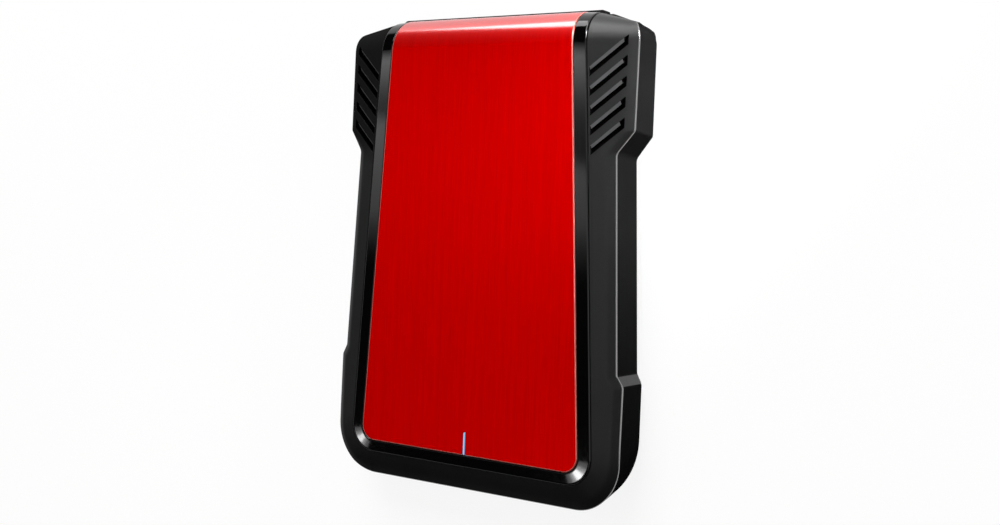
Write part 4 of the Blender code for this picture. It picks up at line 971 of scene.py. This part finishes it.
lightForm = {
    "key": {"place": (0.0, 1.0, 0.72), "size": (0.8, 0.8), "radiance": 8.2},
    "overhead": {"place": (0.1, 0.05, 1.0), "size": (0.5, 1.0), "radiance": 1.08},
    "left": {"place": (-1.2, 0.2, 0.55), "size": (0.5, 0.9), "radiance": 0.2},
    "back": {"place": (-0.715, 1.333, 0.33), "size": (0.5, 0.36), "radiance": 5.0},
    "rim": {"place": (-0.305, 1.475, 0.295), "target": (0.04, 0.055, 0.01), "size": (0.35, 0.2),
            "radiance": 8.0},
    "edge": {"place": (0.95, 0.05, 0.44), "size": (1.0, 0.6), "radiance": 0.9},
    "side": {"place": (0.15, 0.12, 0.05), "target": (0.044, 0.036, 0.008), "size": (0.04, 0.04),
             "radiance": 6.5, "spread": 36},
    "glintLeft": {"direction": (-0.699, -0.232, 0.676), "near": (-0.035, -0.048, 0.016),
                  "rings": ((0.024, 18.0), (0.05, 4.0), (0.08, 1.6))},
    "glintRight": {"direction": (-0.45, -0.263, 0.853), "near": (0.035, -0.048, 0.016),
                   "rings": ((0.03, 26.0), (0.065, 6.0), (0.11, 1.8))},
}
glintDistance = 0.8
cardForm = {
    "place": (-0.45, 0.045, 0.6), "size": (0.9, 0.24), "radiance": 2.5,
    "nearTop": 0.02, "nearFade": 0.005, "nearLean": 0.108, "farLean": 0.041,
    "nearSpan": (-0.1, 0.05), "farSpan": (-0.02, 0.12),
    "near": ((-0.1, 0.0), (-0.088, 0.0), (-0.078, 0.012), (-0.07, 0.05), (-0.062, 0.103), (-0.052, 0.18),
             (-0.046, 0.284), (-0.036, 0.373), (-0.022, 0.4), (0.0, 0.484), (0.043, 0.62)),
    "far": ((-0.02, 0.0), (0.01, 0.06), (0.03, 0.12), (0.044, 0.17), (0.057, 0.33), (0.076, 0.8),
            (0.088, 1.0), (0.097, 0.65), (0.108, 0.04), (0.118, 0.0)),
}


# square axes whose third points back from the target to the lamp
def axesFrom(back):
    back = unit(np.asarray(back, float))
    right = unit(np.cross([0.0, 1.0, 0.0] if abs(back[1]) < 0.9 else [1.0, 0.0, 0.0], back))
    return np.column_stack([right, np.cross(back, right), back])


# rectangle lamp whose power is its radiance times pi times its area
def areaLight(name, place, axes, size, radiance, spread=180):
    lamp = bpy.data.lights.new(name, "AREA")
    lamp.shape, lamp.size, lamp.size_y, lamp.spread = "RECTANGLE", size[0], size[1], np.radians(spread)
    lamp.energy = radiance * np.pi * size[0] * size[1]
    obj = bpy.data.objects.new(name, lamp)
    obj.matrix_world = Matrix.Translation(place) @ Matrix(axes.tolist()).to_4x4()
    obj.visible_camera = False
    bpy.context.scene.collection.objects.link(obj)
    return obj


# a glint is a nest of squares, the smallest the brightest, set along a direction from its spot on the bezel
def studioLights():
    for name, form in lightForm.items():
        target = np.array(form.get("near", form.get("target", (0, 0, 0.01))))
        if "rings" in form:
            place = target + np.array(form["direction"]) * glintDistance
            for number, (size, radiance) in enumerate(form["rings"]):
                areaLight(name + str(number), place, axesFrom(place - target), (size, size), radiance)
        else:
            place = np.array(form["place"], float)
            areaLight(name, place, axesFrom(place - target), form["size"], form["radiance"],
                      form.get("spread", 180))


# level read off a list of stops between two ends
def rampNode(tree, value, stops, low, high):
    ramp = addNode(tree, "ShaderNodeValToRGB", {"Fac": mapRange(tree, value, low, high)})
    elements = ramp.color_ramp.elements
    elements.remove(elements[1])
    elements[0].position = 0.0
    elements[0].color = (stops[0][1],) * 3 + (1,)
    for position, level in stops[1:]:
        elements.new((position - low) / (high - low)).color = (level, level, level, 1)
    return ramp.outputs["Color"]


# gradient card: a lamp facing down, two soft bands across it, each leaning a little along x
def gradientCard():
    form = cardForm
    lamp = areaLight("gradientCard", form["place"], np.eye(3), form["size"], form["radiance"]).data
    lamp.use_nodes = True
    tree = lamp.node_tree
    surface = addNode(tree, "ShaderNodeNewGeometry").outputs["Parametric"]
    spot = addNode(tree, "ShaderNodeSeparateXYZ", {0: surface}).outputs
    x, y = (mapRange(tree, spot[axis], 0, 1, -size / 2, size / 2) for axis, size in zip("XY", form["size"]))
    nearLine, farLine = (mathNode(tree, "ADD", mathNode(tree, "MULTIPLY", x, form[lean]), y)
                         for lean in ("nearLean", "farLean"))
    top, fade = form["nearTop"], form["nearFade"]
    cut = mapRange(tree, nearLine, top - fade, top + fade, 1.0, 0.0)
    near = mathNode(tree, "MULTIPLY", cut, rampNode(tree, y, form["near"], *form["nearSpan"]))
    far = rampNode(tree, farLine, form["far"], *form["farSpan"])
    level = mathNode(tree, "ADD", near, far)
    tree.links.new(level, tree.nodes["Emission"].inputs["Strength"])


floorForm = {"half": 3.0, "albedo": 0.12, "glow": 0.88}


# pale floor: a dull sheet that also glows for camera, glossy and transmission rays so it reads white
def stageFloor():
    half = floorForm["half"]
    mesh = bpy.data.meshes.new("floor")
    corners = [(-half, -half, 0), (half, -half, 0), (half, half, 0), (-half, half, 0)]
    mesh.from_pydata(corners, [], [(0, 1, 2, 3)])
    floor = bpy.data.objects.new("floor", mesh)
    bpy.context.scene.collection.objects.link(floor)
    albedo = floorForm["albedo"]
    material, tree = newMaterial("paleFloor", colour=(albedo, albedo, albedo, 1), roughness=0.9,
                                 specular=0.0, emission=(1, 1, 1, 1))
    path = addNode(tree, "ShaderNodeLightPath").outputs
    seen = mathNode(tree, "ADD", path["Is Camera Ray"], path["Is Glossy Ray"])
    seen = mathNode(tree, "ADD", seen, path["Is Transmission Ray"], clamp=True)
    below = addNode(tree, "ShaderNodeNewGeometry").outputs["Backfacing"]
    feed(tree, strength=mathNode(tree, "MULTIPLY", seen, floorForm["glow"]),
         alpha=mathNode(tree, "SUBTRACT", 1.0, below))
    mesh.materials.append(material)


worldForm = {"low": 0.06, "high": 0.16, "horizon": 1.0, "ceiling": 0.012}


# world: white at the horizon, falling to a dim ceiling
def studioWorld():
    world = bpy.data.worlds.new("studio")
    world.use_nodes = True
    tree = world.node_tree
    direction = addNode(tree, "ShaderNodeTexCoord").outputs["Generated"]
    height = addNode(tree, "ShaderNodeSeparateXYZ", {0: direction}).outputs["Z"]
    level = mapRange(tree, height, *(worldForm[key] for key in ("low", "high", "horizon", "ceiling")))
    tree.links.new(level, tree.nodes["Background"].inputs["Strength"])
    tree.nodes["Background"].inputs["Color"].default_value = (1, 1, 1, 1)
    bpy.context.scene.world = world


cameraForm = {"place": (0.21042, 0.01388, 0.30009), "right": (0.8148, 0.0372, -0.5785),
              "up": (-0.0564, 0.9983, -0.0152), "back": (0.577, 0.045, 0.8155),
              "sensor": 36.0, "lens": 49.57, "clipStart": 0.01}


def placeCamera():
    form = cameraForm
    data = bpy.data.cameras.new("photoCamera")
    data.sensor_width, data.lens, data.clip_start = form["sensor"], form["lens"], form["clipStart"]
    camera = bpy.data.objects.new("photoCamera", data)
    axes = np.column_stack([form["right"], form["up"], form["back"]])
    camera.matrix_world = Matrix.Translation(form["place"]) @ Matrix(axes.tolist()).to_4x4()
    bpy.context.scene.collection.objects.link(camera)
    bpy.context.scene.camera = camera


stageFloor()
studioLights()
gradientCard()
studioWorld()
placeCamera()
bpy.context.scene.view_settings.view_transform = "Standard"
print("stage:", len(lightForm) + 1, "lamps")
